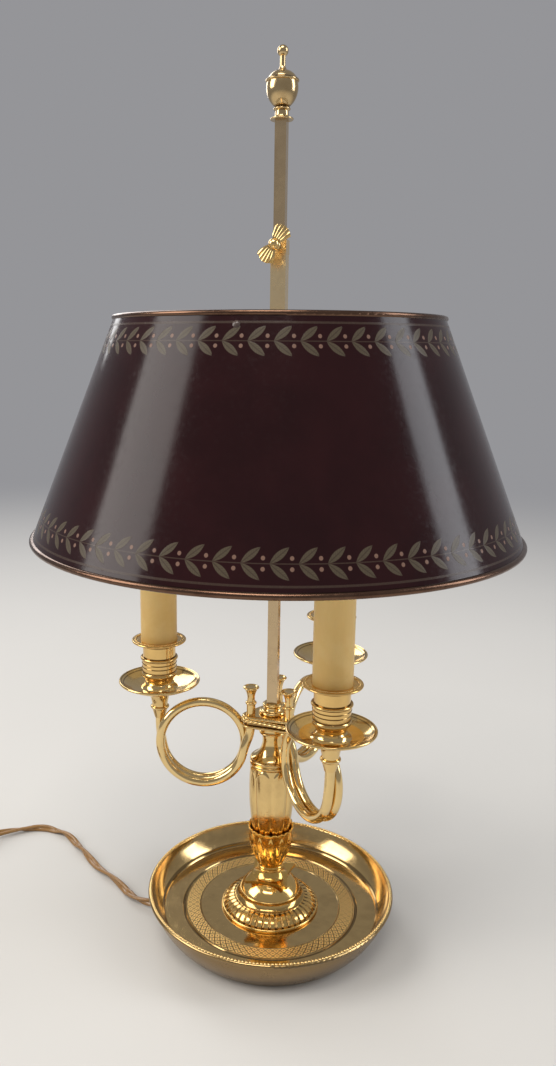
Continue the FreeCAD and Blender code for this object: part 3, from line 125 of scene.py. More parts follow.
def make_camera():
    ahead = Vector((math.sin(CAMERA_YAW) * math.cos(CAMERA_PITCH),
                    math.cos(CAMERA_YAW) * math.cos(CAMERA_PITCH), -math.sin(CAMERA_PITCH)))
    level = Vector((math.cos(CAMERA_YAW), -math.sin(CAMERA_YAW), 0.0))
    above = level.cross(ahead)
    right = level * math.cos(CAMERA_ROLL) + above * math.sin(CAMERA_ROLL)
    up = above * math.cos(CAMERA_ROLL) - level * math.sin(CAMERA_ROLL)
    turn = Matrix((right, up, -ahead)).transposed().to_4x4()
    bpy.ops.object.camera_add(location=CAMERA_PLACE)
    camera = bpy.context.object
    camera.matrix_world = Matrix.Translation(CAMERA_PLACE) @ turn
    camera.data.sensor_width = SENSOR
    camera.data.lens = FOCAL_PIXELS * SENSOR / IMAGE_TALL
    camera.data.shift_x = (IMAGE_WIDE / 2 - CENTRE_ACROSS) / IMAGE_TALL
    camera.data.clip_start = NEAREST
    bpy.context.scene.camera = camera


LIT_MIDDLE = (0.0, 0.0, 0.28)


def softbox(name, place, size, power, colour=(1.0, 1.0, 1.0)):
    """Rectangular light that faces the middle of the lamp."""
    bpy.ops.object.light_add(type="AREA", location=place)
    light = bpy.context.object
    light.name = name + "_softbox"
    light.data.shape = "RECTANGLE"
    light.data.size, light.data.size_y = size
    light.data.energy = power
    light.data.color = colour
    aim = Vector(LIT_MIDDLE) - Vector(place)
    light.rotation_mode = "QUATERNION"
    light.rotation_quaternion = aim.to_track_quat("-Z", "Y")


def make_lights():
    softbox("left", (-2.4, -0.55, 1.7), (1.5, 2.0), 46.0, (1.0, 0.97, 0.93))
    softbox("right", (2.4, -0.05, 1.3), (0.8, 1.9), 24.0, (0.92, 0.95, 1.0))
    softbox("top", (-0.3, -1.15, 2.8), (1.5, 1.3), 40.0, (1.0, 0.95, 0.88))
    softbox("back", (-1.1, 2.0, 1.6), (1.2, 1.6), 18.0)


FLOOR_REACH = 12.0


def make_floor():
    bpy.ops.mesh.primitive_circle_add(vertices=96, radius=FLOOR_REACH, fill_type="NGON", location=(0, 0, 0))
    floor = bpy.context.object
    floor.name = "studio_floor"
    floor.data.materials.append(floor_finish())


# Node graphs


class Graph:
    """A node tree, with short ways of adding nodes and joining them."""

    def __init__(self, tree):
        self.tree = tree

    def add(self, kind, **settings):
        node = self.tree.nodes.new("ShaderNode" + kind)
        for name, value in settings.items():
            setattr(node, name, value)
        return node

    def feed(self, socket, value):
        if isinstance(value, bpy.types.NodeSocket):
            self.tree.links.new(value, socket)
        elif isinstance(value, (tuple, list)) and len(value) == 3 and socket.type == "RGBA":
            socket.default_value = (*value, 1.0)
        else:
            socket.default_value = value

    def fill(self, node, *values):
        """Feeds a node's first sockets in turn, and gives back its first output."""
        for socket, value in zip(node.inputs, values):
            self.feed(socket, value)
        return node.outputs[0]

    def math(self, operation, *values):
        return self.fill(self.add("Math", operation=operation), *values)

    def times(self, first, second):
        return self.math("MULTIPLY", first, second)

    def plus(self, first, second):
        return self.math("ADD", first, second)

    def minus(self, first, second):
        return self.math("SUBTRACT", first, second)

    def most(self, first, second):
        return self.math("MAXIMUM", first, second)

    def size(self, value):
        return self.math("ABSOLUTE", value)

    def mix(self, share, first, second):
        node = self.add("Mix", data_type="RGBA")
        self.feed(node.inputs[0], share)
        self.feed(node.inputs[6], first)
        self.feed(node.inputs[7], second)
        return node.outputs[2]

    def smooth(self, value, low, high, to_low=0.0, to_high=1.0, kind="SMOOTHSTEP"):
        node = self.add("MapRange", interpolation_type=kind)
        return self.fill(node, value, low, high, to_low, to_high)

    def blend(self, value, low, high, to_low, to_high):
        return self.smooth(value, low, high, to_low, to_high, "LINEAR")

    def noise(self, place, scale, detail=3.0, roughness=0.55, stretch=None):
        if stretch:
            place = self.fill(self.add("VectorMath", operation="MULTIPLY"), place, stretch)
        node = self.add("TexNoise")
        self.feed(node.inputs["Vector"], place)
        node.inputs["Scale"].default_value = scale
        node.inputs["Detail"].default_value = detail
        node.inputs["Roughness"].default_value = roughness
        return node.outputs[0]

    def stripes(self, place, direction, scale=1.0):
        node = self.add("TexWave", wave_type="BANDS", bands_direction=direction)
        node.inputs["Scale"].default_value = scale
        self.feed(node.inputs["Vector"], place)
        return node.outputs["Fac"]

    def split(self, place):
        node = self.add("SeparateXYZ")
        self.feed(node.inputs[0], place)
        return node.outputs

    def combine(self, *values):
        return self.fill(self.add("CombineXYZ"), *values)

    def bump(self, height, distance, strength=1.0, normal=None):
        node = self.add("Bump")
        node.inputs["Strength"].default_value = strength
        self.feed(node.inputs["Distance"], distance)
        self.feed(node.inputs["Height"], height)
        if normal is not None:
            self.feed(node.inputs["Normal"], normal)
        return node.outputs[0]

    def place(self, centre=(0.0, 0.0, 0.0)):
        """Object coordinates, measured from a centre."""
        coordinates = self.add("TexCoord").outputs["Object"]
        if tuple(centre) == (0.0, 0.0, 0.0):
            return coordinates
        mapping = self.add("Mapping")
        mapping.inputs["Location"].default_value = [-value for value in centre]
        self.feed(mapping.inputs["Vector"], coordinates)
        return mapping.outputs[0]

    def use(self, group, **values):
        """Places a shared group and gives back its outputs by name."""
        node = self.add("Group")
        node.node_tree = group
        for name, value in values.items():
            self.feed(node.inputs[name], value)
        return node.outputs

    def coat(self, shader, colour, roughness, normal):
        """Feeds a finish's colour, roughness and relief."""
        self.feed(shader["Base Color"], colour)
        self.feed(shader["Roughness"], roughness)
        self.feed(shader["Normal"], normal)


def make_group(name, outputs, **inputs):
    """Empty shader group. An input given a colour, a number or None takes a colour, a value or a vector."""
    tree = bpy.data.node_groups.new(name, "ShaderNodeTree")
    for label, value in inputs.items():
        kind = "Vector" if value is None else "Color" if isinstance(value, tuple) else "Float"
        socket = tree.interface.new_socket(label, in_out="INPUT", socket_type="NodeSocket" + kind)
        if value is not None:
            socket.default_value = (*value, 1.0) if kind == "Color" else value
    for label in outputs:
        kind = {"Color": "Color", "Normal": "Vector"}.get(label, "Float")
        tree.interface.new_socket(label, in_out="OUTPUT", socket_type="NodeSocket" + kind)
    given = tree.nodes.new("NodeGroupInput").outputs
    put = tree.nodes.new("NodeGroupOutput").inputs
    return Graph(tree), given, put


def new_material(name):
    material = bpy.data.materials.new(name)
    material.use_nodes = True
    material.node_tree.nodes.clear()
    graph = Graph(material.node_tree)
    shader = graph.add("BsdfPrincipled")
    graph.feed(graph.add("OutputMaterial").inputs[0], shader.outputs[0])
    return material, graph, shader.inputs


def node_of(graph, kind):
    return [node for node in graph.tree.nodes if node.type == kind][0]


# Shared effects


def metal_wear_group():
    """Brass that has been handled: cloudy tarnish, smudges and fine scratches."""
    graph, given, put = make_group("metal_wear", ("Color", "Roughness", "Normal"), Place=None,
                                   Bright=(0.8, 0.5, 0.2), Tarnish=(0.3, 0.2, 0.1), Amount=0.3,
                                   Smooth=0.1, Dull=0.35, Scratches=0.00002)
    place = given["Place"]
    cloud = graph.noise(place, 38.0, 5.0, 0.62)
    patch = graph.noise(place, 160.0, 4.0, 0.6)
    clouded = graph.plus(graph.times(cloud, 0.7), graph.times(patch, 0.3))
    share = graph.times(graph.smooth(clouded, 0.46, 0.68), given["Amount"])
    graph.feed(put["Color"], graph.mix(share, given["Bright"], given["Tarnish"]))
    smudge = graph.smooth(graph.noise(place, 70.0, 4.0, 0.65), 0.40, 0.70)
    worn = graph.most(graph.times(smudge, 0.45), share)
    graph.feed(put["Roughness"], graph.blend(worn, 0.0, 1.0, given["Smooth"], given["Dull"]))
    first = graph.noise(place, 1.0, 2.0, 0.6, (2600.0, 160.0, 420.0))
    second = graph.noise(place, 1.0, 2.0, 0.6, (190.0, 2300.0, 900.0))
    fine = graph.smooth(graph.most(first, second), 0.60, 0.82)
    relief = graph.minus(graph.times(cloud, 0.6), fine)
    graph.feed(put["Normal"], graph.bump(relief, given["Scratches"]))
    return graph.tree


def polar_group():
    """Turns round the upright axis, from 0 to 1, with radius and height."""
    graph, given, put = make_group("polar", ("Turn", "Radius", "Height"), Place=None)
    across, along, up = graph.split(given["Place"])
    turn = graph.math("DIVIDE", graph.math("ARCTAN2", along, across), 2.0 * math.pi)
    graph.feed(put["Turn"], graph.math("FRACT", graph.plus(turn, 1.0)))
    square = graph.plus(graph.times(across, across), graph.times(along, along))
    graph.feed(put["Radius"], graph.math("SQRT", square))
    graph.feed(put["Height"], up)
    return graph.tree


def ring_line_group():
    """Mask of a thin line at one value of a coordinate."""
    graph, given, put = make_group("ring_line", ("Mask",), Value=0.0, At=0.0, Half=0.0004, Soft=0.0002)
    away = graph.size(graph.minus(given["Value"], given["At"]))
    outer = graph.plus(given["Half"], given["Soft"])
    graph.feed(put["Mask"], graph.smooth(away, given["Half"], outer, 1.0, 0.0))
    return graph.tree


# Laurel: a leaf's length, half width and lean, and the berries' place between the pairs
LEAF_LONG = 0.0142
LEAF_HALF = 0.0022
LEAF_ANGLE = math.radians(38.0)
BERRY_BACK = 0.0037
BERRY_ASIDE = 0.0029
BERRY_RADIUS = 0.0012
ROOT_PLACE = 0.0051
VEIN_PITCH = 190.0


def laurel_group():
    """Band of paired laurel leaves with berries between the pairs, along a stem."""
    graph, given, put = make_group("laurel_band", ("Leaf", "Vein", "Berry", "Line"), Turn=0.0, Height=0.0,
                                   Stem=0.0, Pairs=60.0, Pitch=0.016)
    cell = graph.math("FRACT", graph.times(given["Turn"], given["Pairs"]))
    along = graph.minus(graph.times(cell, given["Pitch"]), ROOT_PLACE)
    aside = graph.size(graph.minus(given["Height"], given["Stem"]))
    lean, rise = math.cos(LEAF_ANGLE), math.sin(LEAF_ANGLE)
    lengthwise = graph.plus(graph.times(along, lean), graph.times(aside, rise))
    across = graph.minus(graph.times(aside, lean), graph.times(along, rise))
    share = graph.math("DIVIDE", lengthwise, LEAF_LONG)
    bow = graph.times(graph.times(share, graph.minus(1.0, share)), 4.0)
    middle = graph.size(across)
    leaf = graph.smooth(graph.minus(graph.times(bow, LEAF_HALF), middle), -0.0001, 0.00025)
    graph.feed(put["Leaf"], leaf)
    vein = graph.smooth(middle, 0.00012, 0.0004, 1.0, 0.0)
    leaning = graph.minus(lengthwise, graph.times(middle, 0.9))
    side = graph.stripes(graph.combine(graph.times(leaning, VEIN_PITCH), 0.0, 0.0), "X")
    barbs = graph.smooth(side, 0.72, 0.95, 0.0, 0.45)
    graph.feed(put["Vein"], graph.times(leaf, graph.most(vein, barbs)))
    out = graph.plus(along, BERRY_BACK)
    off = graph.minus(aside, BERRY_ASIDE)
    far = graph.math("SQRT", graph.plus(graph.times(out, out), graph.times(off, off)))
    graph.feed(put["Berry"], graph.smooth(far, BERRY_RADIUS - 0.0002, BERRY_RADIUS + 0.0002, 1.0, 0.0))
    graph.feed(put["Line"], graph.smooth(aside, 0.00018, 0.00042, 1.0, 0.0))
    return graph.tree


def lattice_group():
    """Engraved diamonds with a dot in each, between two radii."""
    graph, given, put = make_group("diamond_lattice", ("Groove", "Inside"), Turn=0.0, Radius=0.0, Inner=0.0,
                                   Outer=1.0, Around=60.0, Rows=2.0)
    wide = graph.minus(given["Outer"], given["Inner"])
    out = graph.math("DIVIDE", graph.minus(given["Radius"], given["Inner"]), wide)
    inside = graph.times(graph.smooth(out, -0.01, 0.02), graph.smooth(out, 0.98, 1.01, 1.0, 0.0))
    turn = graph.times(given["Turn"], given["Around"])
    row = graph.times(out, given["Rows"])
    rising = graph.math("FRACT", graph.plus(turn, row))
    falling = graph.math("FRACT", graph.minus(graph.plus(turn, 8.0), row))
    from_dot = graph.most(graph.size(graph.minus(rising, 0.5)), graph.size(graph.minus(falling, 0.5)))
    lines = graph.smooth(from_dot, 0.38, 0.46)
    dots = graph.smooth(from_dot, 0.10, 0.16, 1.0, 0.0)
    border = graph.smooth(graph.size(graph.minus(out, 0.5)), 0.44, 0.465)
    cut = graph.most(graph.most(lines, dots), border)
    graph.feed(put["Groove"], graph.times(cut, inside))
    graph.feed(put["Inside"], inside)
    return graph.tree


def moulded_group():
    """Moulded plastic: faint grain, a few scuffs and dust in the dull places."""
    graph, given, put = make_group("moulded_plastic", ("Color", "Roughness", "Normal"), Place=None,
                                   Base=(0.2, 0.1, 0.05), Smooth=0.25, Rough=0.5)
    grain = graph.noise(given["Place"], 2400.0, 2.0)
    cloud = graph.noise(given["Place"], 90.0, 4.0)
    scuff = graph.smooth(graph.noise(given["Place"], 1.0, 3.0, 0.6, (900.0, 140.0, 300.0)), 0.62, 0.74)
    pale = graph.mix(0.5, given["Base"], (0.55, 0.48, 0.38))
    dusty = graph.mix(graph.times(cloud, 0.35), given["Base"], pale)
    graph.feed(put["Color"], graph.mix(graph.times(scuff, 0.25), dusty, pale))
    marked = graph.most(cloud, scuff)
    graph.feed(put["Roughness"], graph.blend(marked, 0.2, 0.9, given["Smooth"], given["Rough"]))
    graph.feed(put["Normal"], graph.bump(grain, 0.00002, 0.6))
    return graph.tree


METAL_WEAR = metal_wear_group()
POLAR = polar_group()
RING_LINE = ring_line_group()
LAUREL = laurel_group()
LATTICE = lattice_group()
MOULDED = moulded_group()

# Brass colours
BRIGHT_BRASS = (0.80, 0.57, 0.25)
TARNISHED = (0.34, 0.21, 0.09)


def brass(name, bright=BRIGHT_BRASS, tarnish=TARNISHED, amount=0.22, smooth=0.08, dull=0.32,
          scratches=0.00002):
    material, graph, shader = new_material(name)
    wear = graph.use(METAL_WEAR, Place=graph.place(), Bright=bright, Tarnish=tarnish, Amount=amount,
                     Smooth=smooth, Dull=dull, Scratches=scratches)
    shader["Metallic"].default_value = 1.0
    graph.coat(shader, wear["Color"], wear["Roughness"], wear["Normal"])
    return material


def darken(graph, share, colour):
    """Lays a dark colour over part of a finished metal."""
    base = node_of(graph, "BSDF_PRINCIPLED").inputs["Base Color"]
    graph.feed(base, graph.mix(share, base.links[0].from_socket, colour))


def lined_brass(name, centre, lines, across="Height", **finish):
    """Brass with dark bands at heights on one upright axis or radii round it: tarnish in turned grooves,
    and painted shade over the hub plate's side faces.
    """
    material = brass(name, **finish)
    graph = Graph(material.node_tree)
    measured = graph.use(POLAR, Place=graph.place(centre))[across]
    mask = 0.0
    for at, half in lines:
        line = graph.use(RING_LINE, Value=measured, At=at, Half=half, Soft=0.0003)["Mask"]
        mask = graph.most(mask, line)
    darken(graph, graph.times(mask, 0.75), (0.16, 0.09, 0.03))
    return material


# Dish: the band round its floor, the rings turned in it, and the outside of its wall, which is darkened
# with painted shade
BAND_INNER = 0.0566
BAND_OUTER = 0.0682
BAND_DIAMONDS = 68.0
BAND_ROWS = 2.0
GROOVE_RADIUS = 0.070
WALL_RADIUS = 0.0870
FLOOR_HEIGHTS = (0.0149, 0.0152)
SHADED_WALL_RADII = (0.0772, 0.0800)
WALL_FOOT = 0.0787
WALL_RISE = 1.62


def dish_finish():
    """Spun brass: turning marks, an engraved band, and a duller wall outside, darkened with painted shade.
    """
    material, graph, shader = new_material("spun_dish_brass")
    place = graph.place()
    polar = graph.use(POLAR, Place=place)
    wear = graph.use(METAL_WEAR, Place=place, Bright=(0.66, 0.46, 0.20), Tarnish=(0.30, 0.19, 0.08),
                     Amount=0.28, Smooth=0.09, Dull=0.26, Scratches=0.00001)
    band = graph.use(LATTICE, Turn=polar["Turn"], Radius=polar["Radius"], Inner=BAND_INNER,
                     Outer=BAND_OUTER, Around=BAND_DIAMONDS, Rows=BAND_ROWS)
    upper = graph.smooth(polar["Height"], *FLOOR_HEIGHTS)
    inside = graph.times(band["Inside"], upper)
    groove = graph.times(band["Groove"], upper)
    gilt = graph.mix(groove, (0.98, 0.67, 0.26), (0.12, 0.06, 0.02))
    ring = graph.use(RING_LINE, Value=polar["Radius"], At=GROOVE_RADIUS, Half=0.0007, Soft=0.0005)["Mask"]
    step = graph.use(RING_LINE, Value=polar["Radius"], At=WALL_RADIUS, Half=0.0007, Soft=0.0008)["Mask"]
    # Mask of the outside of the wall, which gets painted shade below.
    wall = graph.times(graph.minus(polar["Radius"], WALL_FOOT), WALL_RISE)
    under = graph.smooth(graph.minus(polar["Height"], wall), -0.001, 0.003, 1.0, 0.0)
    outside = graph.times(graph.smooth(polar["Radius"], *SHADED_WALL_RADII), under)
    colour = graph.mix(graph.times(graph.most(ring, step), 0.7), wear["Color"], (0.14, 0.08, 0.03))
    colour = graph.mix(inside, colour, gilt)
    # Painted shade: the outside of the wall is darkened.
    colour = graph.mix(graph.times(outside, 0.75), colour, (0.22, 0.14, 0.065))
    dull = graph.plus(graph.plus(wear["Roughness"], graph.times(inside, 0.22)), graph.times(outside, 0.12))
    turning = graph.noise(graph.combine(polar["Radius"], 0.0, polar["Height"]), 1800.0, 3.0)
    spun = graph.bump(turning, 0.00001, 0.7, wear["Normal"])
    graph.coat(shader, colour, dull, graph.bump(graph.minus(1.0, groove), 0.0004, 0.9, spun))
    shader["Metallic"].default_value = 1.0
    return material


def enamel_finish():
    """Burgundy enamel outside with gilt laurels and lines, and a pale coat inside."""
    material, graph, shader = new_material("burgundy_enamel")
    place = graph.place()
    polar = graph.use(POLAR, Place=place)
    narrowing = graph.times(graph.minus(polar["Height"], SHADE_FOOT), SHADE_SLOPE)
    sheet = graph.minus(SHADE_FOOT_RADIUS, narrowing)
    outer = graph.smooth(graph.minus(polar["Radius"], sheet), -0.0001, 0.0001)
    gilding = graph.noise(place, 900.0, 3.0)
    cloud = graph.noise(place, 26.0, 5.0)
    leaf_paint = graph.mix(gilding, (0.062, 0.048, 0.032), (0.105, 0.082, 0.052))
    berry_paint = graph.mix(gilding, (0.15, 0.085, 0.065), (0.24, 0.14, 0.10))
    line_paint = graph.mix(gilding, (0.042, 0.026, 0.020), (0.075, 0.050, 0.036))
    colour = graph.mix(graph.smooth(cloud, 0.3, 0.7), (0.015, 0.0028, 0.0034), (0.021, 0.0041, 0.0048))
    gilded = 0.0
    for stem, pairs, pitch in SHADE_BANDS:
        band = graph.use(LAUREL, Turn=polar["Turn"], Height=polar["Height"], Stem=stem, Pairs=pairs,
                         Pitch=pitch)
        colour = graph.mix(graph.times(band["Line"], 0.8), colour, line_paint)
        colour = graph.mix(band["Leaf"], colour, leaf_paint)
        colour = graph.mix(graph.times(band["Vein"], 0.6), colour, (0.030, 0.016, 0.012))
        colour = graph.mix(band["Berry"], colour, berry_paint)
        gilded = graph.most(gilded, graph.most(band["Leaf"], band["Berry"]))
    for height in SHADE_LINES:
        line = graph.use(RING_LINE, Value=polar["Height"], At=height, Half=0.0005, Soft=0.0003)["Mask"]
        colour = graph.mix(graph.times(line, 0.75), colour, line_paint)
        gilded = graph.most(gilded, graph.times(line, 0.6))
    coat = graph.mix(graph.smooth(cloud, 0.35, 0.7), (0.70, 0.66, 0.56), (0.78, 0.75, 0.67))
    dust = graph.smooth(graph.noise(place, 320.0, 5.0, 0.7), 0.45, 0.75)
    glossy = graph.blend(dust, 0.0, 1.0, 0.13, 0.22)
    painted = graph.plus(glossy, graph.times(gilded, 0.16))
    ripple = graph.noise(place, 55.0, 2.0)
    relief = graph.plus(graph.times(ripple, 0.6), graph.times(gilded, 0.35))
    graph.coat(shader, graph.mix(outer, coat, colour), graph.mix(outer, (0.55, 0.55, 0.55), painted),
               graph.bump(relief, 0.00012, 0.5))
    shader["Specular IOR Level"].default_value = 0.24
    return material


# Foot: how many gadroons, the radii at which they start and end, and the cove inside them
GADROONS = 44.0
GADROONS_START = (0.0276, 0.0286)
GADROONS_END = (0.0376, 0.0384)
COVE_RADIUS = 0.0262


def gadroon_finish():
    """Gilt foot, darker in the valleys between the gadroons and in the cove inside them."""
    material = brass("gadroon_gilt", (0.84, 0.56, 0.20), (0.34, 0.19, 0.06), 0.25, 0.11, 0.28)
    graph = Graph(material.node_tree)
    polar = graph.use(POLAR, Place=graph.place())
    cell = graph.math("FRACT", graph.times(polar["Turn"], GADROONS))
    valley = graph.smooth(graph.size(graph.minus(cell, 0.5)), 0.22, 0.38)
    inside = graph.smooth(polar["Radius"], *GADROONS_START)
    outside = graph.smooth(polar["Radius"], *GADROONS_END, 1.0, 0.0)
    cove = graph.use(RING_LINE, Value=polar["Radius"], At=COVE_RADIUS, Half=0.0010, Soft=0.0008)["Mask"]
    dark = graph.most(graph.times(valley, graph.times(inside, outside)), graph.times(cove, 0.45))
    darken(graph, graph.times(dark, 0.85), (0.10, 0.045, 0.012))
    return material


def rim_finish():
    return brass("bronzed_rim", (0.15, 0.085, 0.055), (0.05, 0.022, 0.016), 0.6, 0.20, 0.40)


def candle_finish():
    """Waxed card sleeve: warm cream, with painted light from the bulbs, brighter towards the top and deeper
    towards the foot.
    """
    material, graph, shader = new_material("waxed_candle_card")
    place = graph.place()
    low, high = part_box("candle_sleeve_left")
    # Painted light: the sleeve grows brighter towards the top, as if lit by the bulbs above.
    painted_glow = graph.smooth(graph.split(place)[2], low[2], high[2])
    fibres = graph.noise(place, 1.0, 4.0, 0.6, (900.0, 900.0, 90.0))
    streak = graph.noise(place, 60.0, 4.0)
    colour = graph.mix(painted_glow, (0.72, 0.46, 0.14), (0.93, 0.65, 0.25))
    colour = graph.mix(graph.times(graph.smooth(streak, 0.4, 0.7), 0.3), colour, (0.88, 0.66, 0.30))
    colour = graph.mix(graph.times(fibres, 0.14), colour, (0.50, 0.30, 0.09))
    graph.coat(shader, colour, graph.blend(streak, 0.3, 0.7, 0.38, 0.52), graph.bump(fibres, 0.00008, 0.5))
    shader["Subsurface Weight"].default_value = 0.15
    shader["Subsurface Radius"].default_value = (0.004, 0.002, 0.001)
    return material


# Height of the metal cap at a bulb's foot
BULB_CAP = 0.0225


def bulb_finish():
    material, graph, shader = new_material("frosted_bulb")
    place = graph.place()
    cap_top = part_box("bulb_left")[0][2] + BULB_CAP
    cap = graph.smooth(graph.split(place)[2], cap_top - 0.0015, cap_top, 1.0, 0.0)
    thread = graph.stripes(place, "Z", 130.0)
    frost = graph.noise(place, 1500.0, 2.0)
    glass = graph.mix(frost, (0.88, 0.84, 0.74), (0.94, 0.92, 0.86))
    graph.coat(shader, graph.mix(cap, glass, (0.66, 0.55, 0.36)), graph.blend(frost, 0.3, 0.7, 0.30, 0.42),
               graph.bump(graph.times(thread, cap), 0.0004, 0.6))
    graph.feed(shader["Metallic"], cap)
    shader["Coat Weight"].default_value = 0.3
    return material


def plastic(name, base, smooth=0.22, rough=0.48):
    material, graph, shader = new_material(name)
    made = graph.use(MOULDED, Place=graph.place(), Base=base, Smooth=smooth, Rough=rough)
    graph.coat(shader, made["Color"], made["Roughness"], made["Normal"])
    return material


def flex_finish():
    """Clear amber cover over stranded copper; the strands run on a slant under it."""
    material, graph, shader = new_material("amber_flex_cover")
    run = graph.add("UVMap", uv_map="along_flex").outputs[0]
    length, round_it, _ = graph.split(run)
    slanted = graph.plus(graph.times(length, 190.0), graph.times(round_it, 5.0))
    strands = graph.stripes(graph.combine(slanted, 0.0, 0.0), "X")
    cloud = graph.noise(graph.place(), 120.0, 4.0)
    copper = graph.mix(strands, (0.15, 0.066, 0.012), (0.40, 0.20, 0.045))
    colour = graph.mix(graph.smooth(cloud, 0.35, 0.75, 0.0, 0.45), copper, (0.23, 0.12, 0.035))
    graph.coat(shader, colour, graph.blend(cloud, 0.3, 0.7, 0.22, 0.38), graph.bump(strands, 0.00006, 0.6))
    shader["Coat Weight"].default_value = 0.5
    shader["Coat Roughness"].default_value = 0.12
    return material


def felt_finish():
    material, graph, shader = new_material("green_felt")
    place = graph.place()
    fuzz = graph.noise(place, 2600.0, 3.0, 0.7)
    matted = graph.noise(place, 180.0, 4.0)
    colour = graph.mix(fuzz, (0.012, 0.045, 0.022), (0.035, 0.105, 0.055))
    colour = graph.mix(graph.times(matted, 0.3), colour, (0.05, 0.09, 0.05))
    graph.coat(shader, colour, graph.blend(fuzz, 0.0, 1.0, 0.85, 1.0), graph.bump(fuzz, 0.0004, 0.7))
    shader["Sheen Weight"].default_value = 0.4
    return material


def iron_finish():
    material, graph, shader = new_material("cast_iron")
    place = graph.place()
    sand = graph.noise(place, 700.0, 4.0, 0.7)
    rust = graph.smooth(graph.noise(place, 45.0, 5.0), 0.5, 0.72)
    colour = graph.mix(graph.times(rust, 0.5), (0.05, 0.05, 0.05), (0.13, 0.055, 0.025))
    graph.coat(shader, colour, graph.blend(sand, 0.3, 0.8, 0.55, 0.85), graph.bump(sand, 0.0003, 0.7))
    shader["Metallic"].default_value = 0.6
    return material


def steel_finish(name, colour, smooth, dull):
    return brass(name, colour, (0.25, 0.23, 0.20), 0.4, smooth, dull)


# Tone of the backdrop, and the distances over which the floor fades into it
BACKDROP = (0.30, 0.30, 0.315)
FLOOR_FADE = (0.55, 2.6)


def floor_finish():
    """Pale floor that fades into the backdrop's tone far from the lamp."""
    material, graph, shader = new_material("pale_floor")
    place = graph.place()
    grain = graph.noise(place, 3.0, 4.0)
    graph.feed(shader["Base Color"], graph.mix(grain, (0.60, 0.585, 0.56), (0.63, 0.615, 0.59)))
    shader["Roughness"].default_value = 0.75
    shader["Specular IOR Level"].default_value = 0.2
    far = graph.add("Emission")
    far.inputs["Color"].default_value = (*BACKDROP, 1.0)
    distance = graph.add("VectorMath", operation="LENGTH")
    graph.feed(distance.inputs[0], place)
    share = graph.smooth(distance.outputs["Value"], *FLOOR_FADE)
    near = node_of(graph, "BSDF_PRINCIPLED").outputs[0]
    seen = graph.fill(graph.add("MixShader"), share, near, far.outputs[0])
    graph.feed(node_of(graph, "OUTPUT_MATERIAL").inputs[0], seen)
    return material


def make_world():
    """Soft light all round; the camera and bright metal see a plain pale backdrop."""
    world = bpy.data.worlds.new("studio")
    bpy.context.scene.world = world
    world.use_nodes = True
    world.node_tree.nodes.clear()
    graph = Graph(world.node_tree)
    light = graph.add("Background")
    light.inputs["Color"].default_value = (0.95, 0.97, 1.0, 1.0)
    light.inputs["Strength"].default_value = 0.40
    backdrop = graph.add("Background")
    backdrop.inputs["Color"].default_value = (*BACKDROP, 1.0)
    path = graph.add("LightPath")
    seen = graph.most(path.outputs["Is Camera Ray"], path.outputs["Is Transmission Ray"])
    seen = graph.most(seen, path.outputs["Is Glossy Ray"])
    chosen = graph.fill(graph.add("MixShader"), seen, light.outputs[0], backdrop.outputs[0])
    graph.feed(graph.add("OutputWorld").inputs[0], chosen)


# How near a point lies to an edge of the shade's sheet
EDGE_REACH = 0.0006


def sheet_middle(height_at):
    """Height, and radius in the middle of the sheet, at one edge of the shade."""
    points = [vertex.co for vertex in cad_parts["shade_shell"].data.vertices]
    edge = height_at(point.z for point in points)
    near = [point for point in points if abs(point.z - edge) < EDGE_REACH]
    radii = [math.hypot(point.x, point.y) for point in near]
    return sum(point.z for point in near) / len(near), (min(radii) + max(radii)) / 2


# Shade: its sheet and its painted bands
SHADE_FOOT, SHADE_FOOT_RADIUS = sheet_middle(min)
SHADE_HEAD, SHADE_HEAD_RADIUS = sheet_middle(max)
SHADE_SLOPE = (SHADE_FOOT_RADIUS - SHADE_HEAD_RADIUS) / (SHADE_HEAD - SHADE_FOOT)
# Each laurel band: height of its stem, pairs of leaves round the shade, and their pitch
SHADE_BANDS = ((0.3437, 66.0, 0.0164), (0.4648, 50.0, 0.0157))
SHADE_LINES = (0.3318, 0.4755)


# Ways of making a piece


def active(name):
    made = bpy.context.object
    made.name = name
    made.data.name = name
    return made


def face_outwards(merge=None):
    """Merges doubles closer than a distance, if one is given, and turns the faces outwards."""
    bpy.ops.object.mode_set(mode="EDIT")
    bpy.ops.mesh.select_all(action="SELECT")
    if merge:
        bpy.ops.mesh.remove_doubles(threshold=merge)
    bpy.ops.mesh.normals_make_consistent(inside=False)
    bpy.ops.object.mode_set(mode="OBJECT")


def settle(piece, material, body, nodes=(), smooth=40.0):
    """Applies a piece's place, finishes it and hands it to its CAD body."""
    pick(piece)
    bpy.ops.object.transform_apply(location=True, rotation=True, scale=True)
    bpy.ops.object.shade_smooth_by_angle(angle=math.radians(smooth))
    piece.data.materials.clear()
    piece.data.materials.append(material)
    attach(piece, body)
    if nodes:
        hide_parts(*nodes)
    return piece


def mesh_piece(name, points, faces):
    mesh = bpy.data.meshes.new(name)
    mesh.from_pydata([tuple(point) for point in points], [], faces)
    mesh.update()
    piece = bpy.data.objects.new(name, mesh)
    bpy.context.scene.collection.objects.link(piece)
    return piece


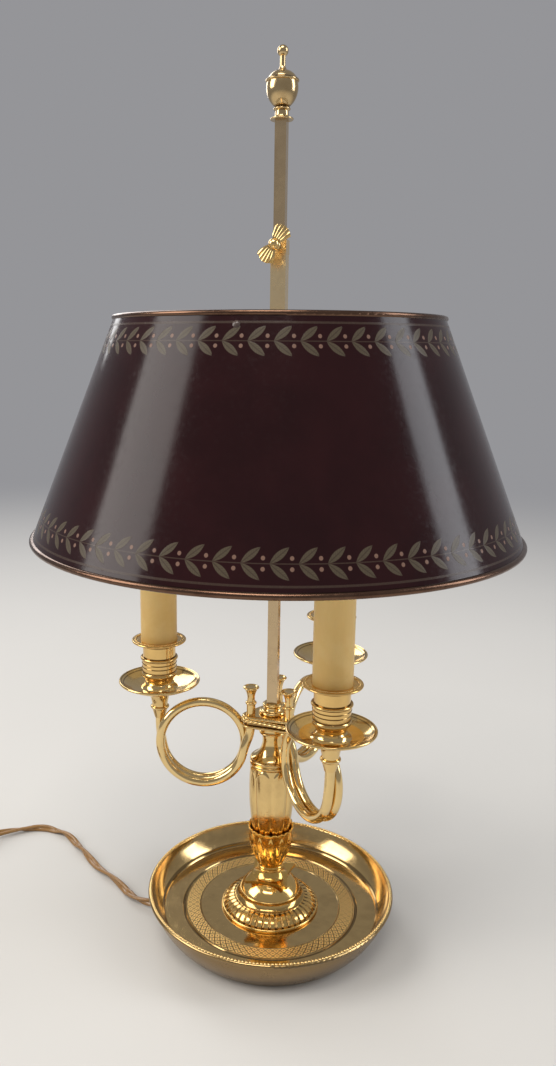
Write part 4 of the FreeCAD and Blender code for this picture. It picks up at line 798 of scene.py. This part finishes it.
def swept(name, line, section_at, closed=False, uv=None):
    """Tube along a line of points; section_at(distance) gives the section as (aside, up) pairs."""
    count = len(line)
    points, faces = [], []
    runs = distances(line)
    ring_size = len(section_at(0.0))
    for index, here in enumerate(line):
        if closed:
            ahead = line[(index + 1) % count] - line[index - 1]
        else:
            ahead = line[min(index + 1, count - 1)] - line[max(index - 1, 0)]
        ahead.normalize()
        side = ahead.cross(Vector((0, 0, 1))).normalized()
        up = side.cross(ahead)
        for aside, rise in section_at(runs[index]):
            points.append(here + side * aside + up * rise)
    for index in range(count if closed else count - 1):
        following = (index + 1) % count
        for corner in range(ring_size):
            after = (corner + 1) % ring_size
            faces.append((index * ring_size + corner, index * ring_size + after,
                          following * ring_size + after, following * ring_size + corner))
    if not closed:
        faces.append(tuple(reversed(range(ring_size))))
        faces.append(tuple(range((count - 1) * ring_size, count * ring_size)))
    piece = mesh_piece(name, points, faces)
    if uv:
        layer = piece.data.uv_layers.new(name=uv)
        for face in piece.data.polygons:
            for loop in face.loop_indices:
                corner = piece.data.loops[loop].vertex_index
                layer.data[loop].uv = (runs[corner // ring_size], (corner % ring_size) / ring_size)
    pick(piece)
    face_outwards()
    return piece


def distances(line):
    """Distance travelled at each point of a line."""
    runs = [0.0]
    for before, after in zip(line, line[1:]):
        runs.append(runs[-1] + (after - before).length)
    return runs


def round_section(wide, tall, sides):
    return [(wide * math.cos(turn), tall * math.sin(turn)) for turn in around(sides)]


# Flex with its plug


def coil_route():
    """Spiral in on the floor, climb a layer in half a turn, and spiral out on top."""
    whole = COIL_TURNS_IN + 0.5 + COIL_TURNS_OUT
    inner = COIL_OUTER - COIL_PITCH * COIL_TURNS_IN
    route = []
    for index in range(int(whole * COIL_POINTS) + 1):
        turn = index / COIL_POINTS
        reach, height = COIL_OUTER - COIL_PITCH * turn, COIL_LOW
        if turn > COIL_TURNS_IN + 0.5:
            reach, height = inner + COIL_PITCH * (turn - COIL_TURNS_IN - 0.5), COIL_LOW + COIL_PITCH
        elif turn > COIL_TURNS_IN:
            share = (turn - COIL_TURNS_IN) * 2.0
            reach = inner - 0.3 * COIL_PITCH * math.sin(math.pi * share)
            height = COIL_LOW + COIL_PITCH * smooth_step(share)
        angle = math.pi + 2.0 * math.pi * turn
        route.append((COIL_CENTRE[0] + reach * math.cos(angle),
                      COIL_CENTRE[1] + reach * math.sin(angle), height))
    return route


def flex_line():
    """Points read from the smooth curve whose control points are the flex's route."""
    route = ([FLEX_START] + LEAD_ROUTE + [SWITCH_ENTRY, SWITCH_END] + TAIL_ROUTE + coil_route()
             + [COIL_EXIT, PLUG_ENTRY])
    curve = bpy.data.curves.new("flex_route", "CURVE")
    curve.dimensions = "3D"
    curve.resolution_u = 12
    spline = curve.splines.new("NURBS")
    spline.points.add(len(route) - 1)
    for point, place in zip(spline.points, route):
        point.co = (*place, 1.0)
    spline.order_u = 3
    spline.use_endpoint_u = True
    holder = bpy.data.objects.new("flex_route", curve)
    bpy.context.scene.collection.objects.link(holder)
    bpy.context.view_layer.update()
    mesh = bpy.data.meshes.new_from_object(holder.evaluated_get(bpy.context.evaluated_depsgraph_get()))
    line = [vertex.co.copy() for vertex in mesh.vertices]
    bpy.data.objects.remove(holder)
    bpy.data.curves.remove(curve)
    bpy.data.meshes.remove(mesh)
    kept = [line[0]]
    for point in line[1:]:
        if (point - kept[-1]).length > LEAST_STEP:
            kept.append(point)
    return kept


def flex_section(angle):
    """Two round cores side by side, turned by an angle."""
    radius = FLEX_THICK / 2
    outline = []
    for turn in around(FLEX_STEPS):
        across = 2.0 * radius * math.cos(turn)
        from_core = abs(across) - radius
        tall = math.sqrt(max(radius * radius - from_core * from_core, 0.0))
        tall = max(tall, 0.45 * radius if abs(across) < radius else 0.0)
        rise = math.copysign(tall, math.sin(turn)) if abs(math.sin(turn)) > 1e-6 else 0.0
        outline.append((across * math.cos(angle) - rise * math.sin(angle),
                        across * math.sin(angle) + rise * math.cos(angle)))
    return outline


def twist(travelled):
    """Angle of the flex where it lies loose and twists unevenly."""
    return math.pi * travelled / FLEX_HALF_TURN + LOOSE_SWAY * math.sin(travelled * LOOSE_RATE)


def flex_angle(travelled, coil_start):
    """Twists as it lies between the lamp and the coil, and stands on edge in the coil."""
    if travelled < coil_start:
        return twist(travelled)
    start = twist(coil_start)
    on_edge = math.pi * round(coil_start / FLEX_HALF_TURN) + math.pi / 2
    share = smooth_step(min((travelled - coil_start) / EDGE_RUN, 1.0))
    return start + (on_edge - start) * share + EDGE_SWAY * math.sin(travelled * EDGE_RATE)


def make_flex():
    """The flex, lowered where its turn leaves it clear of the floor; gives its centres and its length."""
    line = flex_line()
    runs = distances(line)
    coil_start = next(run for run, point in zip(runs, line) if point.y < COIL_ENTRY)
    centres = []
    for run, point in zip(runs, line):
        slack = FLEX_THICK / 2 * (1.0 - abs(math.sin(flex_angle(run, coil_start))))
        lies = point.z < COIL_LOW + 0.0004
        centres.append(point - Vector((0, 0, slack if lies else 0.0)))
    flex = swept("flex", centres, lambda run: flex_section(flex_angle(run, coil_start)), uv="along_flex")
    settle(flex, flex_finish(), "stand", ("cord_lead", "cord_tail", "cord_coil"), 50.0)
    return flex, centres, runs[-1]


def make_plug_relief(line, material):
    """Ribbed, tapered sleeve where the flex enters the plug."""
    tail = line[-RELIEF_POINTS:]
    long = distances(tail)[-1]

    def section(run):
        share = run / long
        ridge = RIDGE_RISE if int(share * RELIEF_RIDGES) % 2 else 0.0
        return round_section(0.0039 + 0.0014 * share + ridge, 0.0029 + 0.0018 * share + ridge, 20)

    return settle(swept("plug_relief", tail, section), material, "stand", smooth=30.0)


# Turned and carved pieces


def ringed(name, profile, sides):
    """Turned shape: a ring at the first radius and height, extruded through the rest of a profile."""
    deselect()
    radius, height = profile[0]
    bpy.ops.mesh.primitive_circle_add(vertices=sides, radius=radius, fill_type="NOTHING",
                                      location=(0.0, 0.0, height))
    piece = active(name)
    bpy.ops.object.mode_set(mode="EDIT")
    bpy.ops.mesh.select_all(action="SELECT")
    for wider, higher in profile[1:]:
        bpy.ops.mesh.extrude_edges_move(TRANSFORM_OT_translate={"value": (0.0, 0.0, higher - height)})
        grow = wider / radius
        bpy.ops.transform.resize(value=(grow, grow, 1.0), center_override=(0.0, 0.0, higher))
        radius, height = wider, higher
    face_outwards(0.00001)
    bpy.ops.object.transform_apply(location=True, rotation=True, scale=True)
    return piece


def carve(piece, shape):
    """Gives each point of a turned piece the radius and height of its carving."""
    for point in piece.data.vertices:
        turn = math.atan2(point.co.y, point.co.x)
        radius, height = shape(turn, math.hypot(point.co.x, point.co.y), point.co.z)
        point.co = (radius * math.cos(turn), radius * math.sin(turn), height)
    return piece


def cell_of(turn, count):
    """Place across one of a number of equal cells round the axis, from -1 to 1."""
    share = (turn / (2.0 * math.pi) * count) % 1.0
    return share * 2.0 - 1.0


def bead_row(name, height, row, centre=(0.0, 0.0)):
    """One small bead, spun into a row of copies."""
    radius, size, count = row
    deselect()
    bpy.ops.mesh.primitive_uv_sphere_add(segments=6, ring_count=5, radius=size,
                                         location=(centre[0] + radius, centre[1], height))
    row = active(name)
    bpy.ops.object.transform_apply(location=True, rotation=True, scale=True)
    bpy.ops.object.mode_set(mode="EDIT")
    bpy.ops.mesh.select_all(action="SELECT")
    bpy.ops.mesh.spin(steps=count, dupli=True, angle=2.0 * math.pi, center=(centre[0], centre[1], 0.0),
                      axis=(0.0, 0.0, 1.0))
    face_outwards(0.000001)
    return row


# Leaf cup: its leaves, and its lip with twenty scallops
CUP_LEAVES = 12
CUP_SCALLOPS = 20
LEAF_FOOT = 0.0545
LEAF_TIP = 0.0755
LEAF_SINK = 0.00055
INNER_FOOT = 0.0640
INNER_TIP = 0.0818
LIP_FOOT = 0.0840
LIP_TALL = 0.0024
SCALLOP_FALL = 0.0013

# Leaf cup, as radii and heights: foot bead and waist, an arc up to the lip, the lip, and the hollow
CUP_ARC = 0.0600
CUP_ARC_CENTRE = (-0.04202, 0.08346)
CUP_WAIST = [(0.0050, 0.0504), (0.0099, 0.0504), (0.0103, 0.0507), (0.0105, 0.0512), (0.0103, 0.0517),
             (0.0099, 0.0520), (0.0098, 0.0527), (0.0099, 0.0534)]
CUP_ARC_HEIGHTS = [LEAF_FOOT, 0.0553] + [height / 1000 for height in range(56, 84)]
CUP_LIP = [(0.01808, 0.0838), (0.01822, 0.0844), (0.01836, 0.0850), (0.01840, 0.0856), (0.01830, 0.0862),
           (0.01790, 0.0864), (0.01710, 0.0862), (0.01672, 0.0856)]
CUP_HOLLOW = [(0.01640, 0.0830), (0.01570, 0.0800), (0.01500, 0.0775), (0.0050, 0.0774), (0.0050, 0.0504)]


def cup_profile():
    arc = [(CUP_ARC_CENTRE[0] + math.sqrt(CUP_ARC ** 2 - (height - CUP_ARC_CENTRE[1]) ** 2), height)
           for height in CUP_ARC_HEIGHTS]
    return CUP_WAIST + arc + CUP_LIP + CUP_HOLLOW


def leaf_relief(turn, radius, height):
    """Twelve hollow leaves, twelve more behind them, and a scalloped rim."""
    if radius < 0.0097:
        return radius, height
    across = abs(cell_of(turn, CUP_LEAVES))
    behind = 1.0 - across
    lift = 0.0
    if LEAF_FOOT < height < LIP_FOOT + 0.0002 and radius > 0.0101:
        lift = -LEAF_SINK * min(1.0, (height - LEAF_FOOT) / 0.004)
        share = (height - INNER_FOOT) / (INNER_TIP - INNER_FOOT)
        if 0.0 < share < 1.0:
            wide = 0.80 * (1.0 - share ** 2.2)
            if behind < wide:
                lift = 0.00005 - 0.00035 * (1.0 - (behind / wide) ** 2)
        share = (height - LEAF_FOOT) / (LEAF_TIP - LEAF_FOOT)
        if 0.0 < share < 1.0:
            wide = 0.90 * (1.0 - share ** 3.0) ** 0.8
            if across < wide:
                lift = 0.00045 - 0.00115 * (1.0 - (across / wide) ** 2)
    if height > LIP_FOOT:
        wave = abs(math.sin(turn * CUP_SCALLOPS / 2.0))
        share = (height - LIP_FOOT) / LIP_TALL
        height -= SCALLOP_FALL * (1.0 - wave) * share
        if radius > 0.0168:
            lift += 0.0003 * wave * share
    return radius + lift, height


def make_leaf_cup(material):
    cup = carve(ringed("leaf_cup_carved", cup_profile(), 240), leaf_relief)
    settle(cup, material, "stand", ("leaf_cup",), 55.0)


# Vase: radii and heights that its smooth side passes through, and the heights of its rings
VASE_SIDE = [(0.01410, 0.0774), (0.01530, 0.08356), (0.01630, 0.09218), (0.01770, 0.1057),
             (0.01820, 0.1168), (0.01805, 0.1291), (0.01760, 0.1390)]
VASE_RINGS = (0.0776, 0.0800, 0.0840, 0.0880, 0.0920, 0.0950, 0.0980, 0.1040, 0.1080, 0.1100, 0.1130,
              0.1160, 0.1190, 0.1220, 0.1250, 0.1275, 0.1290, 0.1302, 0.1314, 0.1326, 0.1338, 0.1348,
              0.1356, 0.1364, 0.1372, 0.1380, 0.1386, 0.1390)
VASE_HOLE = 0.0050
VASE_LOBES = 8
ARCH_TOP = 0.1378
ARCH_FALL = 0.0075
ARCH_EDGE = 0.0012
CREASE = 0.0013
ARCH_SINK = 0.0009


def vase_radius(height):
    """Radius of the smooth side at a height."""
    last = len(VASE_SIDE) - 1
    index = max(step for step in range(last) if step == 0 or VASE_SIDE[step][1] < height)

    def lean(at):
        before, after = VASE_SIDE[max(at - 1, 0)], VASE_SIDE[min(at + 1, last)]
        return (after[0] - before[0]) / (after[1] - before[1])

    (narrow, foot), (wide, top) = VASE_SIDE[index], VASE_SIDE[index + 1]
    share = (height - foot) / (top - foot)
    bend = share * (1.0 - share) * ((1.0 - share) * lean(index) - share * lean(index + 1))
    return narrow + (wide - narrow) * smooth_step(share) + (top - foot) * bend


def vase_profile():
    side = [(vase_radius(height), height) for height in VASE_RINGS]
    hole = [(VASE_HOLE, VASE_RINGS[-1]), (VASE_HOLE, VASE_RINGS[0])]
    return hole[1:] + side + hole


def lobe_relief(turn, radius, height):
    """Eight swelling lobes with a crease between each pair, ending in arches under the neck."""
    if radius < 0.012:
        return radius, height
    across = abs(cell_of(turn, VASE_LOBES))
    swell = 1.0 - across ** 3.2
    arch = ARCH_TOP - ARCH_FALL * across ** 2.0
    above = min(max((height - arch) / ARCH_EDGE, 0.0), 1.0)
    return radius - CREASE * (1.0 - swell) * (1.0 - above) - ARCH_SINK * above, height


def make_vase(material):
    vase = carve(ringed("stem_vase_lobed", vase_profile(), 192), lobe_relief)
    settle(vase, material, "stand", ("stem_vase",), 50.0)


# Hub: two plain bands, and a twisted strand that winds down between them


# Hub: its rounded corners, its two bands, and the rope of three strands between them
HUB_LOBE = 0.0046
CORNER_REACH = math.radians(60.0)
SIDE_STEPS = 26
BAND_RADIUS = 0.0011
ROPE_RADIUS = 0.0018
ROPE_HEIGHT = 0.1773
ROPE_FALL = 0.0015
ROPE_CROWN = math.radians(212.0)
ROPE_TWISTS = 33
ROPE_STEPS = 24
STRAND_DEEP = 0.0007


def heading(point):
    return math.atan2(point.y, point.x)


def hub_path(reach, rise):
    """Round the three mouthpieces at a distance; rise gives the height for a heading."""

    def out(centre, angle):
        return centre + Vector((math.cos(angle), math.sin(angle), 0.0)) * reach

    centres = sorted((Vector((*middle_of("mouthpiece_" + arm), 0.0)) for arm in ARMS), key=heading)
    path = []
    for index, centre in enumerate(centres):
        after = centres[(index + 1) % 3]
        path += [out(centre, heading(centre) + math.radians(lean)) for lean in range(-60, 61, 8)]
        start, target = path[-1], out(after, heading(after) - CORNER_REACH)
        path += [start.lerp(target, step / SIDE_STEPS) for step in range(1, SIDE_STEPS)]
    for point in path:
        point.z = rise(heading(point))
    return path


def make_hub_bands(material):
    low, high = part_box("hub_binding")
    bands = (("hub_band_lower", low[2] + BAND_RADIUS), ("hub_band_upper", high[2] - BAND_RADIUS))
    for name, height in bands:
        path = hub_path(HUB_LOBE + BAND_RADIUS, lambda angle: height)
        band = swept(name, path, lambda run: round_section(BAND_RADIUS, BAND_RADIUS, 12), closed=True)
        settle(band, material, "stand", ("hub_binding",), 60.0)
    path = hub_path(HUB_LOBE + ROPE_RADIUS,
                    lambda angle: ROPE_HEIGHT + ROPE_FALL * math.cos(angle - ROPE_CROWN))
    long = distances(path + path[:1])[-1]
    fine = []
    for index, point in enumerate(path):
        fine += [point.lerp(path[(index + 1) % len(path)], step / 3) for step in range(3)]

    def strand(run):
        turn = 2.0 * math.pi * ROPE_TWISTS / 3 * run / long
        section = []
        for angle in around(ROPE_STEPS):
            reach = ROPE_RADIUS - STRAND_DEEP * (1.0 - abs(math.cos(1.5 * angle)) ** 0.8)
            section.append((reach * math.cos(angle + turn), reach * math.sin(angle + turn)))
        return section

    rope = swept("hub_rope", fine, strand, closed=True)
    settle(rope, material, "stand", ("hub_binding",), 50.0)


# Wing screw


# Screw: turn and heading of its wings, their place, and their half span
WING_TURN = math.radians(-35.0)
WING_AZIMUTH = math.radians(258.0)
SCREW_HEIGHT = 0.53025
WING_PLACE = 0.0195
WING_HALF = 0.0132
WING_ROOT = 0.0026
WING_THICK = 0.0013
WING_RIBS = 5
# The screw's turned middle, as radii and distances from the rod's axis
SCREW_SHAPE = [(0.0004, 0.0049), (0.0020, 0.0050), (0.0020, 0.0096), (0.0023, 0.0102), (0.0021, 0.0110),
               (0.0020, 0.0124), (0.0030, 0.0130), (0.0036, 0.0142), (0.0034, 0.0154), (0.0026, 0.0162),
               (0.0023, 0.0170), (0.0028, 0.0180), (0.0036, 0.0192), (0.0038, 0.0206), (0.0034, 0.0220),
               (0.0024, 0.0232), (0.0012, 0.0239), (0.0004, 0.0240)]


def wing_form(across, outward):
    """Fan that widens and rounds off outwards, ribbed lengthways, with its tip curled back."""
    wide = 0.0028 + 0.0036 * outward ** 0.7
    reach = WING_ROOT + (WING_HALF - WING_ROOT) * outward * (1.0 - 0.30 * across * across * outward)
    crest = abs(math.cos(math.pi * WING_RIBS / 2.0 * across))
    scallop = 0.0005 * crest * outward ** 3
    rib = 0.0007 * crest * min(1.0, outward * 2.0)
    curl = 0.0022 * outward ** 2 - 0.0012 * outward
    return WING_PLACE + rib - curl, wide * across, reach + scallop


def make_thumb_screw(material):
    """Wings and turned middle made along +X, then joined and turned to their place."""
    deselect()
    wings = []
    for way in (1.0, -1.0):
        bpy.ops.mesh.primitive_grid_add(x_subdivisions=40, y_subdivisions=14, size=2.0, location=(0, 0, 0))
        wing = active("wing")
        for point in wing.data.vertices:
            out, aside, reach = wing_form(point.co.x, (point.co.y + 1.0) / 2.0)
            point.co = (out, way * aside, way * reach)
        thicken = wing.modifiers.new("thickness", "SOLIDIFY")
        thicken.thickness = WING_THICK
        thicken.offset = 0.0
        bpy.ops.object.modifier_apply(modifier="thickness")
        wings.append(wing)
    screw = ringed("thumb_screw_winged", SCREW_SHAPE, 40)
    pick(screw)
    bpy.ops.object.mode_set(mode="EDIT")
    bpy.ops.mesh.select_all(action="SELECT")
    bpy.ops.mesh.fill_holes(sides=0)
    bpy.ops.object.mode_set(mode="OBJECT")
    for point in screw.data.vertices:
        point.co = (point.co.z, point.co.y, -point.co.x)
    for wing in wings:
        wing.select_set(True)
    bpy.context.view_layer.objects.active = screw
    bpy.ops.object.join()
    turn = (Matrix.Translation((0, 0, SCREW_HEIGHT)) @ Matrix.Rotation(WING_AZIMUTH, 4, "Z")
            @ Matrix.Rotation(WING_TURN, 4, "X"))
    for point in screw.data.vertices:
        point.co = turn @ point.co
    pick(screw)
    face_outwards()
    settle(screw, material, "wing_screw", ("thumb_screw",), 45.0)


# Rows of beads: radius of the row, size of a bead and how many
RIM_ROW = (0.0969, 0.00135, 228)
RIM_ROW_HEIGHT = 0.0325
CUP_ROW = (0.0184, 0.00065, 84)


def make_beading(material):
    """Row of beads round the dish rim, and a finer one on each candle cup."""
    row = bead_row("rim_beading", RIM_ROW_HEIGHT, RIM_ROW)
    settle(row, material, "stand", (), 60.0)
    for arm in ARMS:
        cup = "candle_cup_" + arm
        row = bead_row("cup_beading_" + arm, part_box(cup)[1][2] - 0.0001, CUP_ROW, middle_of(cup))
        settle(row, material, "stand", (), 60.0)


# Carried-over CAD nodes


def dress(material, *nodes):
    for node in nodes:
        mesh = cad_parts[node].data
        mesh.materials.clear()
        mesh.materials.append(material)


def each_arm(*kinds):
    return [kind + "_" + arm for kind in kinds for arm in ARMS]


# Dark grooves, above the foot of a candle cup, and on the finial as heights and half widths
CUP_GROOVES = (0.0094, 0.0128, 0.0158, 0.0188, 0.0212, 0.0300)
FINIAL_LINES = [(0.6216, 0.0004), (0.6384, 0.0004)]


def dress_nodes(fitting):
    bright = brass("polished_brass")
    horn = brass("horn_brass", (0.84, 0.62, 0.29), (0.40, 0.27, 0.12), 0.2, 0.07, 0.22)
    deep = brass("deep_gilt_brass", (0.76, 0.47, 0.13), (0.30, 0.16, 0.04), 0.3, 0.12, 0.30)
    old = brass("aged_brass", (0.60, 0.45, 0.27), (0.34, 0.24, 0.14), 0.35, 0.24, 0.36, 0.000006)
    dress(dish_finish(), "base_dish")
    dress(gadroon_finish(), "gadroon_foot")
    dress(deep, "plinth")
    # Painted shade: the hub plate's side faces are darkened and its top is left bright.
    hub_low, hub_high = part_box("hub_plate")
    hub_side_painted_shade = [((hub_low[2] + hub_high[2]) / 2, (hub_high[2] - hub_low[2]) / 2 - 0.0012)]
    dress(lined_brass("hub_plate_painted_shade_brass", (0, 0, 0), hub_side_painted_shade), "hub_plate")
    satin = brass("satin_sleeve_brass", (0.92, 0.72, 0.42), (0.50, 0.34, 0.16), 0.25, 0.24, 0.36, 0.000006)
    dress(satin, "slide_sleeve", "sleeve_collar")
    dress(bright, "stem_neck", "rod_pedestal", *each_arm("mouthpiece", "bell"))
    for arm in ARMS:
        pan = "drip_pan_" + arm
        low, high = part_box(pan)
        rim = (high[0] - low[0]) / 2
        lines = [(rim - 0.0017, 0.0002), (rim - 0.0036, 0.0002)]
        dress(lined_brass("pan_brass_" + arm, (*middle_of(pan), 0.0), lines, "Radius"), pan)
    dress(horn, *each_arm("horn"))
    make_leaf_cup(deep)
    make_vase(bright)
    make_hub_bands(bright)
    make_thumb_screw(bright)
    make_beading(bright)
    cup_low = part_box("candle_cup_left")[0][2]
    cup_lines = [(cup_low + rise, 0.0003) for rise in CUP_GROOVES]
    dress(lined_brass("turned_cup_brass", (0, 0, 0), cup_lines, bright=(0.80, 0.53, 0.20)),
          *each_arm("candle_cup"))
    dress(old, "square_rod", "shade_spider")
    dress(plastic("painted_rivets", (0.024, 0.005, 0.007), 0.2, 0.35), "spider_rivets")
    dress(lined_brass("finial_brass", (0, 0, 0), FINIAL_LINES, bright=(0.62, 0.46, 0.24), amount=0.4,
                      smooth=0.12), "finial")
    dress(enamel_finish(), "shade_shell")
    dress(rim_finish(), "shade_bottom_bead", "shade_top_bead")
    dress(candle_finish(), *each_arm("candle_sleeve"))
    dress(bulb_finish(), *each_arm("bulb"))
    dress(plastic("black_holder", (0.02, 0.02, 0.02)), "lead_block", *each_arm("lamp_holder"))
    dress(fitting, "cord_grommet", "switch_base", "switch_top", "plug_body")
    dress(plastic("rocker_plastic", (0.030, 0.014, 0.006), 0.15, 0.35), "switch_rocker")
    dress(steel_finish("plated_pins", (0.72, 0.70, 0.66), 0.14, 0.3), "plug_pins")
    dress(steel_finish("steel_parts", (0.45, 0.44, 0.42), 0.25, 0.45), "tie_rod", "base_nut")
    dress(iron_finish(), "base_weight")
    dress(felt_finish(), "felt_pad")


make_camera()
make_world()
make_lights()
make_floor()
fitting_plastic = plastic("brown_fitting_plastic", (0.055, 0.026, 0.010))
dress_nodes(fitting_plastic)
flex, flex_centres, flex_long = make_flex()
relief = make_plug_relief(flex_centres, fitting_plastic)

bpy.context.scene.view_settings.view_transform = "Standard"
